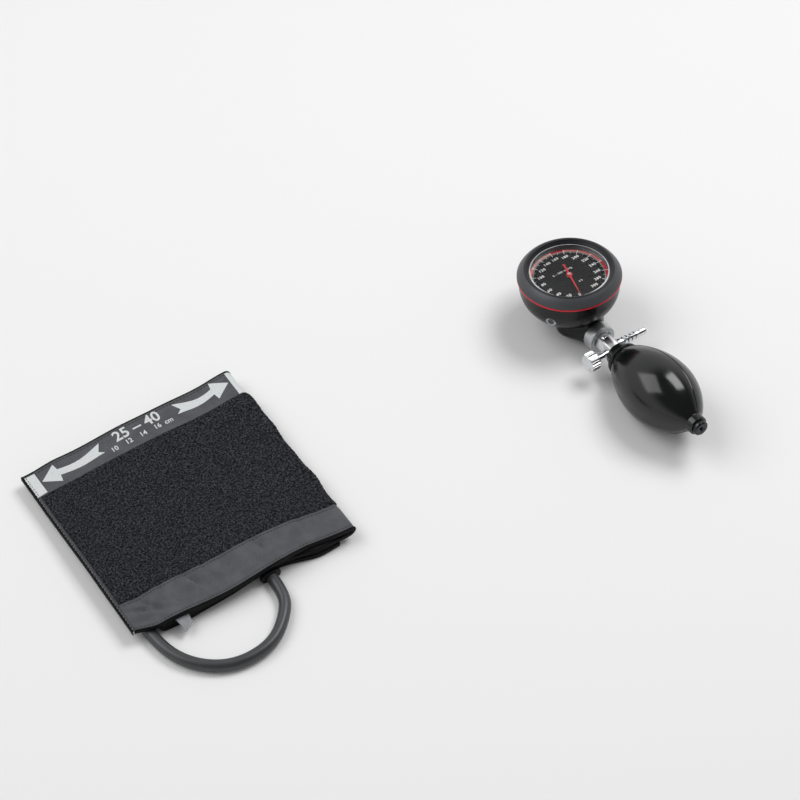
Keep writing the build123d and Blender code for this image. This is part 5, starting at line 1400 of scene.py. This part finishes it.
# Bulb: a moulded latex-free rubber egg with a thick lip stretched over the spigot. Two mould
# halves leave a fine ridge along each side. The skin is semi-gloss, with a faint bloom.
rubber = mottled("moulded black rubber", "131415", ("0C0D0E", "151617"), scale=0.05, detail=4,
                 relief=(2.2, 3, 0.12, 0.00006), gloss=(0.35, 0.7, 0.15, 0.23), Roughness=0.18,
                 Specular_IOR_Level=0.5)
WIDE_S, WIDE_R, FRONT_S, FRONT_R, TAIL_S, TAIL_R, WALL = 99.0, 24.25, 61.0, 11.0, 134.0, 8.0, 2.2


def egg(station, front_radius, tail_radius, widest):
    """The egg's radius at a station: two arcs that are level where it is widest."""
    radius = front_radius if station < WIDE_S else tail_radius
    return widest - radius + math.sqrt(radius ** 2 - (station - WIDE_S) ** 2)


front_arc = ((FRONT_S - WIDE_S) ** 2 + (WIDE_R - FRONT_R) ** 2) / (2 * (WIDE_R - FRONT_R))
tail_arc = ((TAIL_S - WIDE_S) ** 2 + (WIDE_R - TAIL_R) ** 2) / (2 * (WIDE_R - TAIL_R))
outer = [(egg(s, front_arc, tail_arc, WIDE_R), s) for s in np.linspace(61.6, 133.6, 90)]
inner = [(egg(s, front_arc - WALL, tail_arc - WALL, WIDE_R - WALL), s)
         for s in np.linspace(129, 63.5, 50)]
lip = rounded([(5.02, 52.5), (7.9, 52.52, 0.3), (8.6, 53.2, 0.5), (9.3, 57.4, 2.0), (11.7, 58.7, 0.5),
               (12.1, 60.0, 0.6), (11.3, 60.9, 0.25), (11.25, 61.3)], 5)
tail = rounded([(7.95, 134.1), (6.95, 135.4, 0.8), (6.7, 139.9, 0.4), (6.1, 140.58, 0.3),
                (3.62, 140.58), (3.62, 130.6)], 4)
bulb_outline = lip + outer + tail + inner + [(5.02, 61.0)]
RIDGE_ANGLES = (math.radians(61), math.radians(241))
RIDGE_HEIGHT, RIDGE_REACH = 0.3, 0.45
# Where the near-black painted shade lies: by station along the egg, and by its distance round from each
# ridge.
PAINTED_SHADE_FROM, LIP_PAINTED_SHADE_TO, PAINTED_SHADE_TO = 60.9, 61.8, 133
PAINTED_SHADE_NEAR, PAINTED_SHADE_FAR = -0.05, -1.05


def skin_radius(station):
    """The outer skin's radius at a station of the egg."""
    return egg(min(max(station, FRONT_S), TAIL_S), front_arc, tail_arc, WIDE_R)


def past_ridge(angle, ridge):
    """The way round the egg from a ridge, in millimetres where the egg is widest."""
    return ((angle - ridge + math.pi) % (2 * math.pi) - math.pi) * WIDE_R


def parting_ridge(radius, height, angle):
    """The mould's fine ridge along two sides of the egg."""
    if not 61 < height < 136 or radius < skin_radius(height) - 1:
        return radius
    for ridge in RIDGE_ANGLES:
        radius += RIDGE_HEIGHT * math.exp(-(past_ridge(angle, ridge) / RIDGE_REACH) ** 2)
    return radius


def flash_shows(radius, height, bearing):
    """Where the painted shade goes: a near-black strip on one side of each ridge, and round the foot of
    the lip.
    """
    if not PAINTED_SHADE_FROM < height < PAINTED_SHADE_TO or radius <= skin_radius(height) - 1:
        return False
    return height < LIP_PAINTED_SHADE_TO or any(
        PAINTED_SHADE_FAR < past_ridge(bearing, ridge) < PAINTED_SHADE_NEAR for ridge in RIDGE_ANGLES)


ridge_angles = [(ridge + step / WIDE_R) % (2 * math.pi) for ridge in RIDGE_ANGLES
                for step in np.arange(-1.2, 1.3, 0.15)]
bulb_skin = lathe("bulb_skin", bulb_outline, NECK, rubber, 240, closed=True, turn=parting_ridge,
                  extra=ridge_angles)
# A near-black strip beside each ridge and in the crease at the foot of the lip is painted shade.
painted_ridge_shade = mottled("trimmed mould flash", "040405", ("020202", "0A0A0B"), scale=1.2, detail=3,
                     Roughness=0.8, Specular_IOR_Level=0.05)
second_finish(bulb_skin, painted_ridge_shade, NECK, flash_shows)
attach(bulb_skin, "handpiece")
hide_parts("bulb")


# Intake fitting: a turned bush in the bulb's tail that holds the intake ball and its stop.
# Its nickel is darkened and smooth, with faint turning marks.
dark_metal = metal("darkened nickel", "2A2B2D", "47494C", 0.22, 1.2)
intake_bush = lathe("intake_bush", rounded([
    (2.12, 132.62), (3.2, 132.62, 0.1), (3.58, 133.4, 0.2), (3.58, 140.62), (4.9, 140.62, 0.1),
    (5.28, 141.0, 0.15), (5.28, 143.1, 0.5), (4.5, 143.78, 0.3), (2.4, 143.78, 0.2),
    (1.15, 143.2, 0.2), (1.12, 140.5), (2.12, 139.62)], 4), NECK, dark_metal, 96, closed=True)
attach(intake_bush, "handpiece")
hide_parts("intake_fitting")
